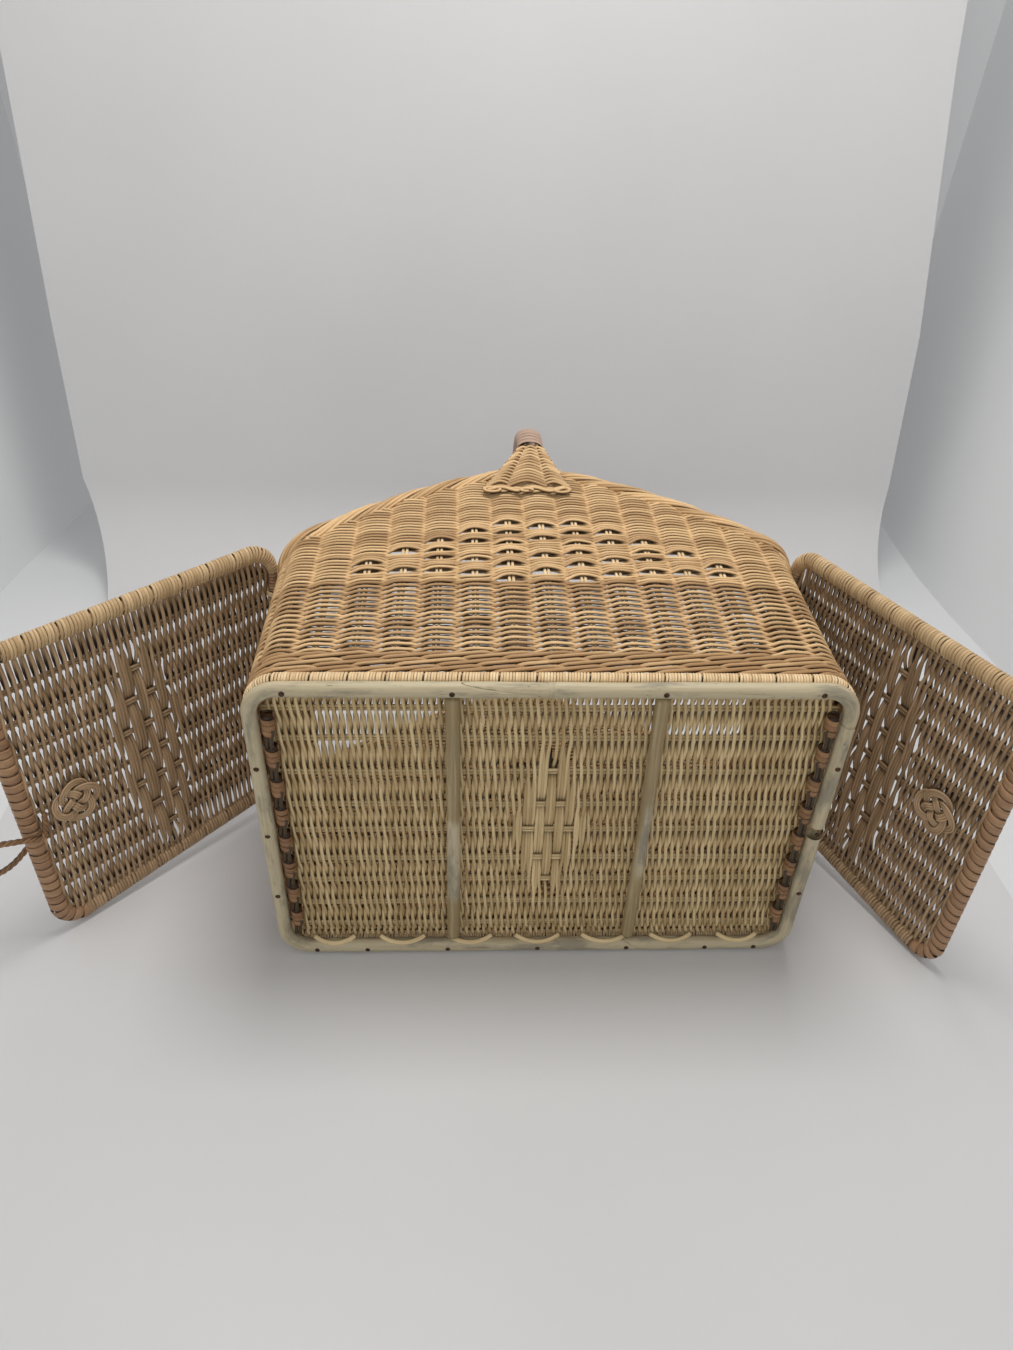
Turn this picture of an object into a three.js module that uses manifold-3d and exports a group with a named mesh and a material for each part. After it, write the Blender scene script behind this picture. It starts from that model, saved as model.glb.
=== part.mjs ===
// Gabled wicker picnic basket with two hinged lids, lying on its long back wall with both lids swung open.
// Millimetres. Each part is built in the upright basket's frame: X along the length, Y from the front wall
// to the back wall, Z up from the foot. The whole basket is then laid down on its back wall.

import * as THREE from "three";
import { mergeVertices } from "three/addons/utils/BufferGeometryUtils.js";
import Module from "manifold-3d";

// Foot frame
const BASE_LENGTH = 380;
const BASE_WIDTH = 250;
const BASE_CORNER_RADIUS = 24;
const POLE_DIAMETER = 10.5;
const CROSS_BAR_DIAMETER = 9.6;
const LEFT_BAR_PLACE = -62;
const RIGHT_BAR_PLACE = 66.5;
const BAR_END_GAP = 6;
const FRONT_SCARF_START = -50;
const FRONT_SCARF_END = 14;
const BACK_SCARF_START = 66;
const BACK_SCARF_END = 82;
const NAIL_HEAD_DIAMETER = 3.6;
const NAIL_HEAD_THICKNESS = 0.9;
const NAIL_RECESS_DEPTH = 1.3;
const NAIL_RECESS_MARGIN = 0.5;
const BASE_LASHING_COUNT = 7;
const BASE_LASHING_CORNER_GAP = 2;
const BASE_LASHING_LENGTH = 28;
const BASE_LASHING_DEPTH = 2.5;
const LASHING_THICKNESS = 2.6;

// Walls
const END_HEIGHT = 192;
const APEX_HEIGHT = 312;
const RIM_ARCH = 0.11;
const WALL_FOOT_INSET = 2;
const END_WALL_FLARE = 5.5;
const LONG_WALL_LEAN = 5.5;
const LONG_WALL_BELLY = 2.5;
const RIM_CORNER_RADIUS = 26;
const WALL_THICKNESS = 5;
const STAKE_SWELL = 0.8;
const RIB_SINK = 1.3;
const BINDING_HEIGHT = 7;
const WALING_ROUND_HEIGHT = 7.2;
const WALING_ROUNDS = 3;
const WALING_PROUD = 2;
const BORDER_DIAMETER = 14.5;
const BORDER_GROOVE = 2.1;
const BORDER_STRANDS = 3;
const BORDER_STRAND_CROSSINGS = 34;
const STAKE_PITCH = 25.5;
const SLOT_WIDTH = 10;
const SLOT_HEIGHT = 3.4;
const SLOT_FOOT_GAP = 13.3;
const SLOT_ROW_PITCH = 19;
const SLOT_ROWS = 4;
const SLOT_COLUMNS = 9;
const EYE_WIDTH = 17;
const EYE_HEIGHT = 7;
const EYE_ROW_PITCH = 19.5;
const EYE_STAGGER = 6.5;
const EYE_BAND_FOOT = 131;
const EYE_BAND_PEAK = 203;
const EYE_COLUMNS = 5;

// Bottom weave
const BOTTOM_THICKNESS = 4.2;
const WEAVER_PITCH = 9.2;
const WEAVER_RELIEF = 0.8;
const COIL_DIAMETER = 9.2;
const COIL_BEAD_PITCH = 12.5;

// Handle
const HANDLE_WIDTH = 22;
const HANDLE_THICKNESS = 16;
const HANDLE_CORE_WIDTH = 16;
const HANDLE_CORE_THICKNESS = 10;
const HANDLE_RISE = 105;
const FAN_HEIGHT = 62;
const FAN_WIDTH = 79;
const FAN_RIBS = 5;
const FAN_RIB_DEPTH = 2.6;
const FAN_THICKNESS = 6;
const FAN_TOP_OVER_RIM = 6;
const FAN_EDGE_DIAMETER = 5;
const FAN_EDGE_SCALLOP = 3;
const FAN_SPREAD_POWER = 0.85;

// Lids
const HINGE_SIDE_ANGLE = 25;
const LID_LENGTH = 230;
const LID_HINGE_WIDTH = 236;
const LID_FREE_WIDTH = 254;
const LID_CORNER_RADIUS = 18;
const LID_HINGE_BEND = 18;
const BEND_LEAD = 1;
const SIDE_ROLL_WIDTH = 15;
const SIDE_ROLL_THICKNESS = 11;
const HINGE_ROLL_DIAMETER = 10;
const LID_WEAVE_THICKNESS = 6.2;
const LID_RIB_SINK = 1.9;
const LID_STAKE_PITCH = 24.9;
const LID_EYE_DISTANCE = 122;
const LID_EYE_PITCH = 15.7;
const LID_EYE_ROWS = [1, 2, 3, 2, 3, 2, 1];
const LID_EYE_WIDTH = 9;
const LID_EYE_HEIGHT = 7;
const LEFT_LID_ANGLE = 226.8;
const RIGHT_LID_ANGLE = 246;
const LEFT_KNOT_INSET = 41;
const LEFT_KNOT_OFFSET = 13;
const RIGHT_KNOT_INSET = 45;
const RIGHT_KNOT_OFFSET = 4;
const KNOT_RADIUS = 10.5;
const KNOT_SWING = 5.4;
const KNOT_BIGHTS = 4;
const KNOT_STRAND = 3;
const KNOT_WEAVE_RISE = 1.75;
const HINGE_LOOPS = 3;
const HINGE_LOOP_INSET = 44;
const HINGE_LOOP_THICKNESS = 2.6;
const LOOP_HOLE_LENGTH = 9;

// Lying pose and clearances
const LYING_LEAN = 3.4;
const CLEARANCE = 0.3;
const CORD_DIAMETER = 4.4;

const COLOURS = {
  pole: 0xcdbf9d,
  straw: 0xc9a871,
  golden: 0xc3935a,
  wall: 0xb88450,
  coil: 0x9c6b41,
  shadedWeave: 0xa9845a,
  paleRoll: 0xc9a878,
  darkRoll: 0x8a5639,
  handle: 0x9a7560,
  iron: 0x4a3f38,
};

const wasm = await Module();
wasm.setup();

const rad = THREE.MathUtils.degToRad;
const lerp = THREE.MathUtils.lerp;
const vec = (x, y, z) => new THREE.Vector3(x, y, z);
const UP = vec(0, 0, 1);

/** Manifold body of a closed three.js geometry. */
function toManifold(geometry) {
  const plain = geometry.clone();
  plain.deleteAttribute("normal");
  plain.deleteAttribute("uv");
  const merged = mergeVertices(plain, 1e-4);
  const mesh = new wasm.Mesh({
    numProp: 3,
    vertProperties: new Float32Array(merged.attributes.position.array),
    triVerts: new Uint32Array(merged.index.array),
  });
  return new wasm.Manifold(mesh);
}

/** three.js geometry of a manifold body. */
function toGeometry(body) {
  const mesh = body.getMesh();
  const geometry = new THREE.BufferGeometry();
  geometry.setAttribute("position", new THREE.BufferAttribute(new Float32Array(mesh.vertProperties), 3));
  geometry.setIndex(new THREE.BufferAttribute(new Uint32Array(mesh.triVerts), 1));
  geometry.computeVertexNormals();
  return geometry;
}

/** Geometry minus a list of cutters. */
function cut(geometry, cutters) {
  let body = toManifold(geometry);
  for (const cutter of cutters) {
    body = body.subtract(toManifold(cutter));
  }
  return toGeometry(body);
}

/** Common part of two geometries. */
function common(first, second) {
  return toGeometry(toManifold(first).intersect(toManifold(second)));
}

/** Triangles that close a flat ring of points. */
function capTriangles(ring) {
  const centre = ring.reduce((sum, point) => sum.add(point), vec(0, 0, 0)).divideScalar(ring.length);
  const normal = vec(0, 0, 0);
  ring.forEach((point, i) => {
    const next = ring[(i + 1) % ring.length];
    normal.add(point.clone().sub(centre).cross(next.clone().sub(centre)));
  });
  normal.normalize();
  const across = ring[0].clone().sub(centre).normalize();
  const along = normal.clone().cross(across);
  const flat = ring.map((point) => {
    const arm = point.clone().sub(centre);
    return new THREE.Vector2(arm.dot(across), arm.dot(along));
  });
  return THREE.ShapeUtils.triangulateShape(flat, []);
}

/** Solid lofted through rings of points; a closed loft joins its last ring to its first. */
function loft(rings, closed = false) {
  const size = rings[0].length;
  const index = [];
  const spans = closed ? rings.length : rings.length - 1;
  for (let i = 0; i < spans; i += 1) {
    const next = (i + 1) % rings.length;
    for (let j = 0; j < size; j += 1) {
      const a = i * size + j;
      const b = i * size + ((j + 1) % size);
      const c = next * size + j;
      const d = next * size + ((j + 1) % size);
      index.push(a, b, d, a, d, c);
    }
  }
  if (!closed) {
    const last = (rings.length - 1) * size;
    capTriangles(rings[0]).forEach(([a, b, c]) => index.push(c, b, a));
    capTriangles(rings[rings.length - 1]).forEach(([a, b, c]) => index.push(last + a, last + b, last + c));
  }
  const geometry = new THREE.BufferGeometry().setFromPoints(rings.flat());
  geometry.setIndex(index);
  return facingOut(geometry);
}

/** The same closed geometry with its faces turned outwards. */
function facingOut(geometry) {
  const points = geometry.attributes.position;
  const index = Array.from(geometry.index.array);
  const at = (i) => vec().fromBufferAttribute(points, i);
  let volume = 0;
  for (let i = 0; i < index.length; i += 3) {
    volume += at(index[i]).dot(at(index[i + 1]).cross(at(index[i + 2])));
  }
  if (volume < 0) {
    for (let i = 0; i < index.length; i += 3) {
      [index[i + 1], index[i + 2]] = [index[i + 2], index[i + 1]];
    }
    geometry.setIndex(index);
  }
  geometry.computeVertexNormals();
  return geometry;
}

/** Outline of an ellipse, its corners outside so that its flats face the axes. */
function ellipse(width, height, sides) {
  const curve = new THREE.EllipseCurve(0, 0, width / 2, height / 2, Math.PI / sides, Math.PI / sides + 2 * Math.PI);
  return curve.getPoints(sides).slice(0, sides);
}

/** Rectangle outline. */
function rectangle(width, height) {
  const x = width / 2;
  const y = height / 2;
  return [[-x, -y], [x, -y], [x, y], [-x, y]].map(([a, b]) => new THREE.Vector2(a, b));
}

/** Solid of a section carried along a path; section x points sideways and section y along the up direction. */
function sweep(path, section, { closed = false, up = UP } = {}) {
  const rings = path.map((point, i) => {
    const last = path.length - 1;
    const before = path[i > 0 ? i - 1 : closed ? last : 0];
    const after = path[i < last ? i + 1 : closed ? 0 : last];
    const tangent = after.clone().sub(before).normalize();
    const side = tangent.clone().cross(up).normalize();
    const rise = side.clone().cross(tangent);
    const outline = typeof section === "function" ? section(i) : section;
    return outline.map((s) => point.clone().addScaledVector(side, s.x).addScaledVector(rise, s.y));
  });
  return loft(rings, closed);
}

/** Round tube along a curve. */
function tube(curve, diameter, sides, steps) {
  const circle = new THREE.Shape(ellipse(diameter, diameter, sides));
  return new THREE.ExtrudeGeometry(circle, { steps, bevelEnabled: false, extrudePath: curve, curveSegments: 1 });
}

/** Flat plate of an outline, from a low to a high level. */
function plate(points, low, high) {
  const shape = new THREE.Shape(points.map(([x, y]) => new THREE.Vector2(x, y)));
  const geometry = new THREE.ExtrudeGeometry(shape, { depth: high - low, bevelEnabled: false });
  return geometry.translate(0, 0, low);
}

/** Height of the rim's top over the foot, rising from the ends to the middle. */
function rimHeight(x) {
  const share = 1 - Math.min(1, Math.abs(x) / (wallHalfLength(END_HEIGHT) - WALL_THICKNESS / 2));
  return END_HEIGHT + (APEX_HEIGHT - END_HEIGHT) * (share + RIM_ARCH * Math.sin(Math.PI * share));
}

/** Height of the border's middle line. */
function borderHeight(x) {
  return rimHeight(x) - BORDER_DIAMETER / 2;
}

/** Top of the wall's weave, just under the border. */
function wallTop(x) {
  const step = 1;
  const slope = Math.min(1, Math.abs(rimHeight(x + step) - rimHeight(x - step)) / (2 * step));
  return borderHeight(x) - (BORDER_DIAMETER / 2 + 2 * CLEARANCE) * Math.hypot(1, slope);
}

/** Half of the wall's outer length at a height. */
function wallHalfLength(z) {
  return BASE_LENGTH / 2 - WALL_FOOT_INSET + END_WALL_FLARE * (z / END_HEIGHT);
}

/** Half of the wall's outer width, at a height and a share of the half length. */
function wallHalfWidth(z, share) {
  const lean = LONG_WALL_LEAN * (z / END_HEIGHT) * share * share;
  const belly = LONG_WALL_BELLY * Math.sin(Math.PI * Math.min(1, z / APEX_HEIGHT)) * (1 - share * share);
  return BASE_WIDTH / 2 - WALL_FOOT_INSET - lean + belly;
}

/** Stations once round a rounded rectangle: two straight shares and the outward angle. */
function planStations(longSteps, cornerSteps, endSteps) {
  const stations = [];
  const sides = [[1, -1, -90], [1, 1, 0], [-1, 1, 90], [-1, -1, 180]];
  let [fromX, fromY] = [-1, -1];
  for (const [toX, toY, angle] of sides) {
    const steps = toX === fromX ? endSteps : longSteps;
    for (let k = 0; k < steps; k += 1) {
      stations.push({ sx: lerp(fromX, toX, k / steps), sy: lerp(fromY, toY, k / steps), angle });
    }
    for (let k = 0; k < cornerSteps; k += 1) {
      stations.push({ sx: toX, sy: toY, angle: angle + (90 * k) / cornerSteps });
    }
    [fromX, fromY] = [toX, toY];
  }
  return stations;
}

/** Point of the wall at a station and height, moved outwards by an offset. */
function wallPoint({ sx, sy, angle }, z, offset) {
  const radius = lerp(BASE_CORNER_RADIUS - WALL_FOOT_INSET, RIM_CORNER_RADIUS, Math.min(1, z / END_HEIGHT));
  const reach = radius + offset;
  const x = sx * (wallHalfLength(z) - radius) + reach * Math.cos(rad(angle));
  const y = sy * (wallHalfWidth(z, sx) - radius) + reach * Math.sin(rad(angle));
  return vec(x, y, z);
}

/** Closed line round the wall at one height and offset. */
function wallLine(z, offset, stations) {
  return stations.map((station) => wallPoint(station, z, offset));
}

/** Closed plan line of the foot frame's pole, at an inset from the outer edge. */
function frameLine(z, inset, cornerSteps) {
  const radius = BASE_CORNER_RADIUS - inset;
  return planStations(1, cornerSteps, 1).map(({ sx, sy, angle }) => vec(
    sx * (BASE_LENGTH / 2 - BASE_CORNER_RADIUS) + radius * Math.cos(rad(angle)),
    sy * (BASE_WIDTH / 2 - BASE_CORNER_RADIUS) + radius * Math.sin(rad(angle)),
    z,
  ));
}

/** Positions of the nails along the foot frame. */
function nailPoints() {
  const x = BASE_LENGTH / 2 - POLE_DIAMETER / 2;
  const y = BASE_WIDTH / 2 - POLE_DIAMETER / 2;
  const along = [-0.88, -0.68, -0.36, 0, 0.36, 0.68, 0.88];
  const across = [-0.5, 0, 0.5];
  return [
    ...along.map((share) => [share * x, y]),
    ...[along[0] * x, LEFT_BAR_PLACE, RIGHT_BAR_PLACE, along[6] * x].map((place) => [place, -y]),
    ...across.map((share) => [-x, share * y]),
    ...across.map((share) => [x, share * y]),
  ];
}

/** Short six-sided cylinder standing on the foot plane over one nail. */
function nailCylinder([x, y], diameter, low, high) {
  const cylinder = new THREE.CylinderGeometry(diameter / 2, diameter / 2, high - low, 6);
  return cylinder.rotateX(Math.PI / 2).translate(x, y, (low + high) / 2);
}

/** Foot frame pole, one half of the ring with slanted scarf ends and sunk nail holes. */
function baseFrameHalf(side) {
  const pole = POLE_DIAMETER;
  const ring = sweep(frameLine(pole / 2, pole / 2, 4), ellipse(pole, pole, 12), { closed: true });
  const shift = (side * CLEARANCE) / 2;
  const front = -BASE_WIDTH / 2;
  const region = plate([
    [side * BASE_LENGTH, front - 1],
    [FRONT_SCARF_START + shift, front - 1],
    [FRONT_SCARF_START + shift, front + pole * 0.1],
    [FRONT_SCARF_END + shift, front + pole * 0.9],
    [FRONT_SCARF_END + shift, front + pole + 1],
    [BACK_SCARF_START + shift, -front - pole - 1],
    [BACK_SCARF_START + shift, -front - pole * 0.9],
    [BACK_SCARF_END + shift, -front - pole * 0.1],
    [BACK_SCARF_END + shift, -front + 1],
    [side * BASE_LENGTH, -front + 1],
  ], -1, pole + 1);
  const hole = NAIL_HEAD_DIAMETER + 2 * NAIL_RECESS_MARGIN;
  const holes = nailPoints().map((point) => nailCylinder(point, hole, -1, NAIL_RECESS_DEPTH));
  return cut(common(ring, region), holes);
}

/** Head of one nail, sunk in the foot frame. */
function frameNail(point) {
  const low = NAIL_RECESS_DEPTH - CLEARANCE - NAIL_HEAD_THICKNESS;
  return nailCylinder(point, NAIL_HEAD_DIAMETER, low, low + NAIL_HEAD_THICKNESS);
}

/** Pole across the foot frame, under the bottom weave, ending short of the back pole's lashings. */
function crossBar(x) {
  const inside = BASE_WIDTH / 2 - POLE_DIAMETER;
  const z = CROSS_BAR_DIAMETER / 2 + (POLE_DIAMETER - CROSS_BAR_DIAMETER) / 2;
  const ends = [vec(x, CLEARANCE - inside, z), vec(x, inside - BAR_END_GAP, z)];
  return sweep(ends, ellipse(CROSS_BAR_DIAMETER, CROSS_BAR_DIAMETER, 8));
}

/** Outline with one ridge per weaver along its lower edge. */
function ridgedOutline(length, low, high, ridges) {
  const points = [[length / 2, high], [-length / 2, high]];
  const pitch = length / ridges;
  for (let i = 0; i < ridges; i += 1) {
    const start = -length / 2 + i * pitch;
    points.push([start, low + WEAVER_RELIEF], [start + pitch / 2, low]);
  }
  points.push([length / 2, low + WEAVER_RELIEF]);
  return points;
}

/** Bottom weave: reeds across the basket, ridged on the side that faces the foot. */
function baseWeave() {
  const low = POLE_DIAMETER + CLEARANCE;
  const inset = WALL_THICKNESS + 2 * CLEARANCE;
  const line = wallLine(low, -inset, planStations(1, 4, 1));
  const length = 2 * wallHalfLength(low);
  const ridges = Math.round(length / WEAVER_PITCH);
  const sheet = plate(ridgedOutline(length, low, low + BOTTOM_THICKNESS, ridges), -BASE_WIDTH / 2, BASE_WIDTH / 2);
  const outline = plate(line.map(({ x, y }) => [x, y]), 0, low + 2 * BOTTOM_THICKNESS);
  return common(sheet.rotateX(Math.PI / 2), outline);
}

/** Wrapped band between the foot frame and the first round of the wall. */
function footBinding() {
  const low = POLE_DIAMETER + CLEARANCE;
  const line = wallLine(low + BINDING_HEIGHT / 2, -WALL_THICKNESS / 2, planStations(1, 4, 1));
  return sweep(line, rectangle(WALL_THICKNESS, BINDING_HEIGHT), { closed: true });
}

/** Height of the top of the foot binding. */
function bindingTop() {
  return POLE_DIAMETER + 2 * CLEARANCE + BINDING_HEIGHT;
}

/** Height of the top of the waling. */
function walingTop() {
  return bindingTop() + WALING_ROUNDS * WALING_ROUND_HEIGHT + CLEARANCE;
}

/** Band of thick waling rounds at the wall's foot, one rounded ridge per round. */
function walingBand() {
  const low = bindingTop();
  const rings = planStations(2, 4, 1).map((station) => {
    const outer = [];
    for (let i = 0; i < WALING_ROUNDS; i += 1) {
      const start = low + i * WALING_ROUND_HEIGHT;
      outer.push([start + WALING_ROUND_HEIGHT * 0.1, WALING_PROUD * 0.2]);
      outer.push([start + WALING_ROUND_HEIGHT * 0.5, WALING_PROUD]);
      outer.push([start + WALING_ROUND_HEIGHT * 0.9, WALING_PROUD * 0.2]);
    }
    const high = low + WALING_ROUNDS * WALING_ROUND_HEIGHT;
    const section = [[low, 0], ...outer, [high, 0], [high, -WALL_THICKNESS], [low, -WALL_THICKNESS]];
    return section.map(([z, offset]) => wallPoint(station, z, offset));
  });
  return loft(rings, true);
}

/** Outline of a lens-shaped eye, pointed at both ends. */
function lensPoints(width, height) {
  const corners = [[-0.5, 0], [-0.2, -0.5], [0.2, -0.5], [0.5, 0], [0.2, 0.5], [-0.2, 0.5]];
  return corners.map(([a, b]) => [a * width, b * height]);
}

/** Places of the lens-shaped eyes of one long wall: a gable of staggered columns. */
function wallEyes() {
  const eyes = [];
  const fall = (EYE_BAND_PEAK - EYE_BAND_FOOT) / (EYE_COLUMNS + 1);
  for (let column = -EYE_COLUMNS; column <= EYE_COLUMNS; column += 1) {
    const stagger = column % 2 === 0 ? 0 : -EYE_STAGGER;
    const top = EYE_BAND_PEAK - fall * Math.abs(column);
    for (let z = EYE_BAND_FOOT + stagger; z <= top; z += EYE_ROW_PITCH) {
      eyes.push([column * STAKE_PITCH, z]);
    }
  }
  return eyes;
}

/** Openings of both long walls: slots between the open rows and eyes above them. */
function wallCutters() {
  const cutters = [];
  const reach = BASE_WIDTH;
  for (let row = 0; row < SLOT_ROWS; row += 1) {
    const z = walingTop() + SLOT_FOOT_GAP + row * SLOT_ROW_PITCH;
    for (let column = 0; column < SLOT_COLUMNS; column += 1) {
      const x = (column - (SLOT_COLUMNS - 1) / 2) * STAKE_PITCH;
      cutters.push(new THREE.BoxGeometry(SLOT_WIDTH, reach * 2, SLOT_HEIGHT).translate(x, 0, z));
    }
  }
  for (const [x, z] of wallEyes()) {
    const lens = plate(lensPoints(EYE_WIDTH, EYE_HEIGHT), -reach, reach);
    cutters.push(lens.rotateX(Math.PI / 2).translate(x, 0, z));
  }
  return cutters;
}

/** Places of the hinge loops along the hinge line, the outer ones set in from the lid's sides. */
function loopPlaces() {
  const reach = LID_HINGE_WIDTH / 2 - HINGE_LOOP_INSET;
  const places = [];
  for (let i = 0; i < HINGE_LOOPS; i += 1) {
    places.push(lerp(-reach, reach, i / (HINGE_LOOPS - 1)));
  }
  return places;
}

/** Notches under the border that the hinge loops of both ends pass through. */
function loopNotches() {
  const size = HINGE_LOOP_THICKNESS + 4 * CLEARANCE;
  const high = borderHeight(wallHalfLength(END_HEIGHT));
  const low = high - BORDER_DIAMETER / 2 - HINGE_LOOP_THICKNESS - 3 * CLEARANCE;
  return loopPlaces().map((y) => {
    const notch = new THREE.BoxGeometry(BASE_LENGTH * 2, size, high - low);
    return notch.translate(0, y, (low + high) / 2);
  });
}

/** Stations once round the wall, by turns between two stakes and on a stake. */
function stakeStations() {
  const radius = BASE_CORNER_RADIUS - WALL_FOOT_INSET;
  const longGaps = (2 * (wallHalfLength(0) - radius)) / STAKE_PITCH;
  const endGaps = (2 * (wallHalfWidth(0, 1) - radius)) / STAKE_PITCH;
  const oddGaps = 1 + 2 * Math.round((longGaps - 1) / 2);
  const evenGaps = 2 * Math.round(endGaps / 2);
  return planStations(2 * oddGaps, 3, 2 * evenGaps);
}

/** Woven wall all round the basket, swelling over its stakes, with its see-through slots and eyes. */
function wallWeave() {
  const low = walingTop();
  const levels = [0, 0.5, 1];
  const rings = stakeStations().map((station, i) => {
    const onStake = i % 2 === 1;
    const face = onStake ? STAKE_SWELL : -RIB_SINK;
    const back = onStake ? -WALL_THICKNESS : RIB_SINK - WALL_THICKNESS;
    const high = wallTop(wallPoint(station, END_HEIGHT, 0).x);
    const outer = levels.map((share) => wallPoint(station, lerp(low, high, share), face));
    const inner = levels.map((share) => wallPoint(station, lerp(low, high, share), back));
    return [...outer, ...inner.reverse()];
  });
  return cut(loft(rings, true), [...wallCutters(), ...loopNotches()]);
}

/** Rolled border on the rim: three strands laid up as a rope that follows the gable. */
function rimBorder() {
  const stations = planStations(34, 4, 16);
  const path = stations.map((station) => {
    const { x } = wallPoint(station, END_HEIGHT, -WALL_THICKNESS / 2);
    const z = borderHeight(x);
    return vec(x, wallPoint(station, z, -WALL_THICKNESS / 2).y, z);
  });
  const rope = (i) => {
    const turn = (2 * Math.PI * BORDER_STRAND_CROSSINGS * i) / (BORDER_STRANDS * path.length);
    const points = [];
    for (let k = 0; k < 2 * BORDER_STRANDS; k += 1) {
      const radius = BORDER_DIAMETER / 2 - (k % 2) * BORDER_GROOVE;
      const angle = turn + (Math.PI * k) / BORDER_STRANDS;
      points.push(new THREE.Vector2(radius * Math.cos(angle), radius * Math.sin(angle)));
    }
    return points;
  };
  return sweep(path, rope, { closed: true });
}

/** Coiled bundle along one end of the bottom, inside the frame. */
function baseCoil(side) {
  const x = side * (BASE_LENGTH / 2 - POLE_DIAMETER - CLEARANCE - COIL_DIAMETER / 2);
  const reach = BASE_WIDTH / 2 - BASE_CORNER_RADIUS - CLEARANCE;
  const beads = Math.round((2 * reach) / COIL_BEAD_PITCH);
  const z = POLE_DIAMETER - COIL_DIAMETER / 2;
  const path = [];
  for (let i = 0; i <= 2 * beads; i += 1) {
    path.push(vec(x, lerp(-reach, reach, i / (2 * beads)), z));
  }
  const neck = 0.72;
  return sweep(path, (i) => {
    const size = COIL_DIAMETER * (i % 2 === 0 ? neck : 1);
    return ellipse(size, size, 6);
  });
}

/** Places along the back pole where reed loops lash the bottom weave to it, evenly from corner to corner. */
function lashingPlaces() {
  const reach = BASE_LENGTH / 2 - BASE_CORNER_RADIUS - BASE_LASHING_CORNER_GAP - BASE_LASHING_LENGTH / 2;
  const places = [];
  for (let i = 0; i < BASE_LASHING_COUNT; i += 1) {
    places.push(lerp(-reach, reach, i / (BASE_LASHING_COUNT - 1)));
  }
  return places;
}

/** Short bowed reed that lashes the bottom weave to the back pole. */
function baseLashing(x) {
  const y = BASE_WIDTH / 2 - POLE_DIAMETER - CLEARANCE - LASHING_THICKNESS / 2;
  const z = POLE_DIAMETER - LASHING_THICKNESS / 2;
  const bow = [[-0.5, 1], [-0.25, 0.25], [0.25, 0.25], [0.5, 1]];
  const arc = new THREE.CatmullRomCurve3(bow.map(([along, out]) => vec(
    x + along * BASE_LASHING_LENGTH,
    y - out * BASE_LASHING_DEPTH,
    z,
  )));
  return tube(arc, LASHING_THICKNESS, 5, 6);
}

/** Distance of the handle leg's middle from the basket's middle plane. */
function handleHalfSpan() {
  const borderFace = wallHalfWidth(borderHeight(0), 0) - WALL_THICKNESS / 2 + BORDER_DIAMETER / 2;
  return borderFace + CLEARANCE + HANDLE_THICKNESS / 2;
}

/** Height where the fans end and the handle begins. */
function fanTop() {
  return APEX_HEIGHT + FAN_TOP_OVER_RIM;
}

/** Middle line of the arched handle from the front fan to the back fan. */
function handlePath() {
  const steps = 20;
  const span = handleHalfSpan();
  const foot = fanTop();
  const path = [vec(0, -span, foot)];
  for (let i = 0; i <= steps; i += 1) {
    const angle = (Math.PI * i) / steps;
    path.push(vec(0, -span * Math.cos(angle), foot + HANDLE_CORE_THICKNESS + HANDLE_RISE * Math.sin(angle)));
  }
  path.push(vec(0, span, foot));
  return path;
}

/** Bundle of rods inside the handle. */
function handleCore() {
  return sweep(handlePath(), ellipse(HANDLE_CORE_THICKNESS, HANDLE_CORE_WIDTH, 8), { up: vec(1, 0, 0) });
}

/** Flat strip wound round the rods, as a sleeve. */
function handleWrap() {
  const across = vec(1, 0, 0);
  const outer = sweep(handlePath(), ellipse(HANDLE_THICKNESS, HANDLE_WIDTH, 8), { up: across });
  const bore = 2 * CLEARANCE;
  const path = handlePath();
  path[0].z -= 1;
  path[path.length - 1].z -= 1;
  return cut(outer, [
    sweep(path, ellipse(HANDLE_CORE_THICKNESS + bore, HANDLE_CORE_WIDTH + bore, 8), { up: across }),
  ]);
}

/** Fan of splayed ribs that carries the handle down the wall's outer face, on one side. */
function handleFan(side) {
  const rows = 6;
  const rings = [];
  for (let row = 0; row <= rows; row += 1) {
    const share = row / rows;
    const z = fanTop() - CLEARANCE - FAN_HEIGHT * share;
    const width = lerp(HANDLE_WIDTH, FAN_WIDTH, Math.pow(share, FAN_SPREAD_POWER));
    const wallFace = wallHalfWidth(Math.min(z, borderHeight(0)), 0);
    const wallSeat = wallFace + STAKE_SWELL + CLEARANCE;
    const seat = lerp(handleHalfSpan() - HANDLE_THICKNESS / 2 + CLEARANCE, wallSeat, share * share);
    const inner = Math.max(seat, z > wallTop(0) - BORDER_DIAMETER ? handleHalfSpan() - HANDLE_THICKNESS / 2 : seat);
    const thickness = lerp(HANDLE_THICKNESS - FAN_RIB_DEPTH - 1, FAN_THICKNESS, share);
    const ridges = [];
    for (let k = 0; k <= 2 * FAN_RIBS; k += 1) {
      const x = lerp(-0.5, 0.5, k / (2 * FAN_RIBS)) * width;
      const depth = thickness + (k % 2 === 1 ? FAN_RIB_DEPTH : 0);
      ridges.push(vec(x, side * (inner + depth), z));
    }
    rings.push([...ridges, vec(width / 2, side * inner, z), vec(-width / 2, side * inner, z)]);
  }
  return loft(rings);
}

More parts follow.
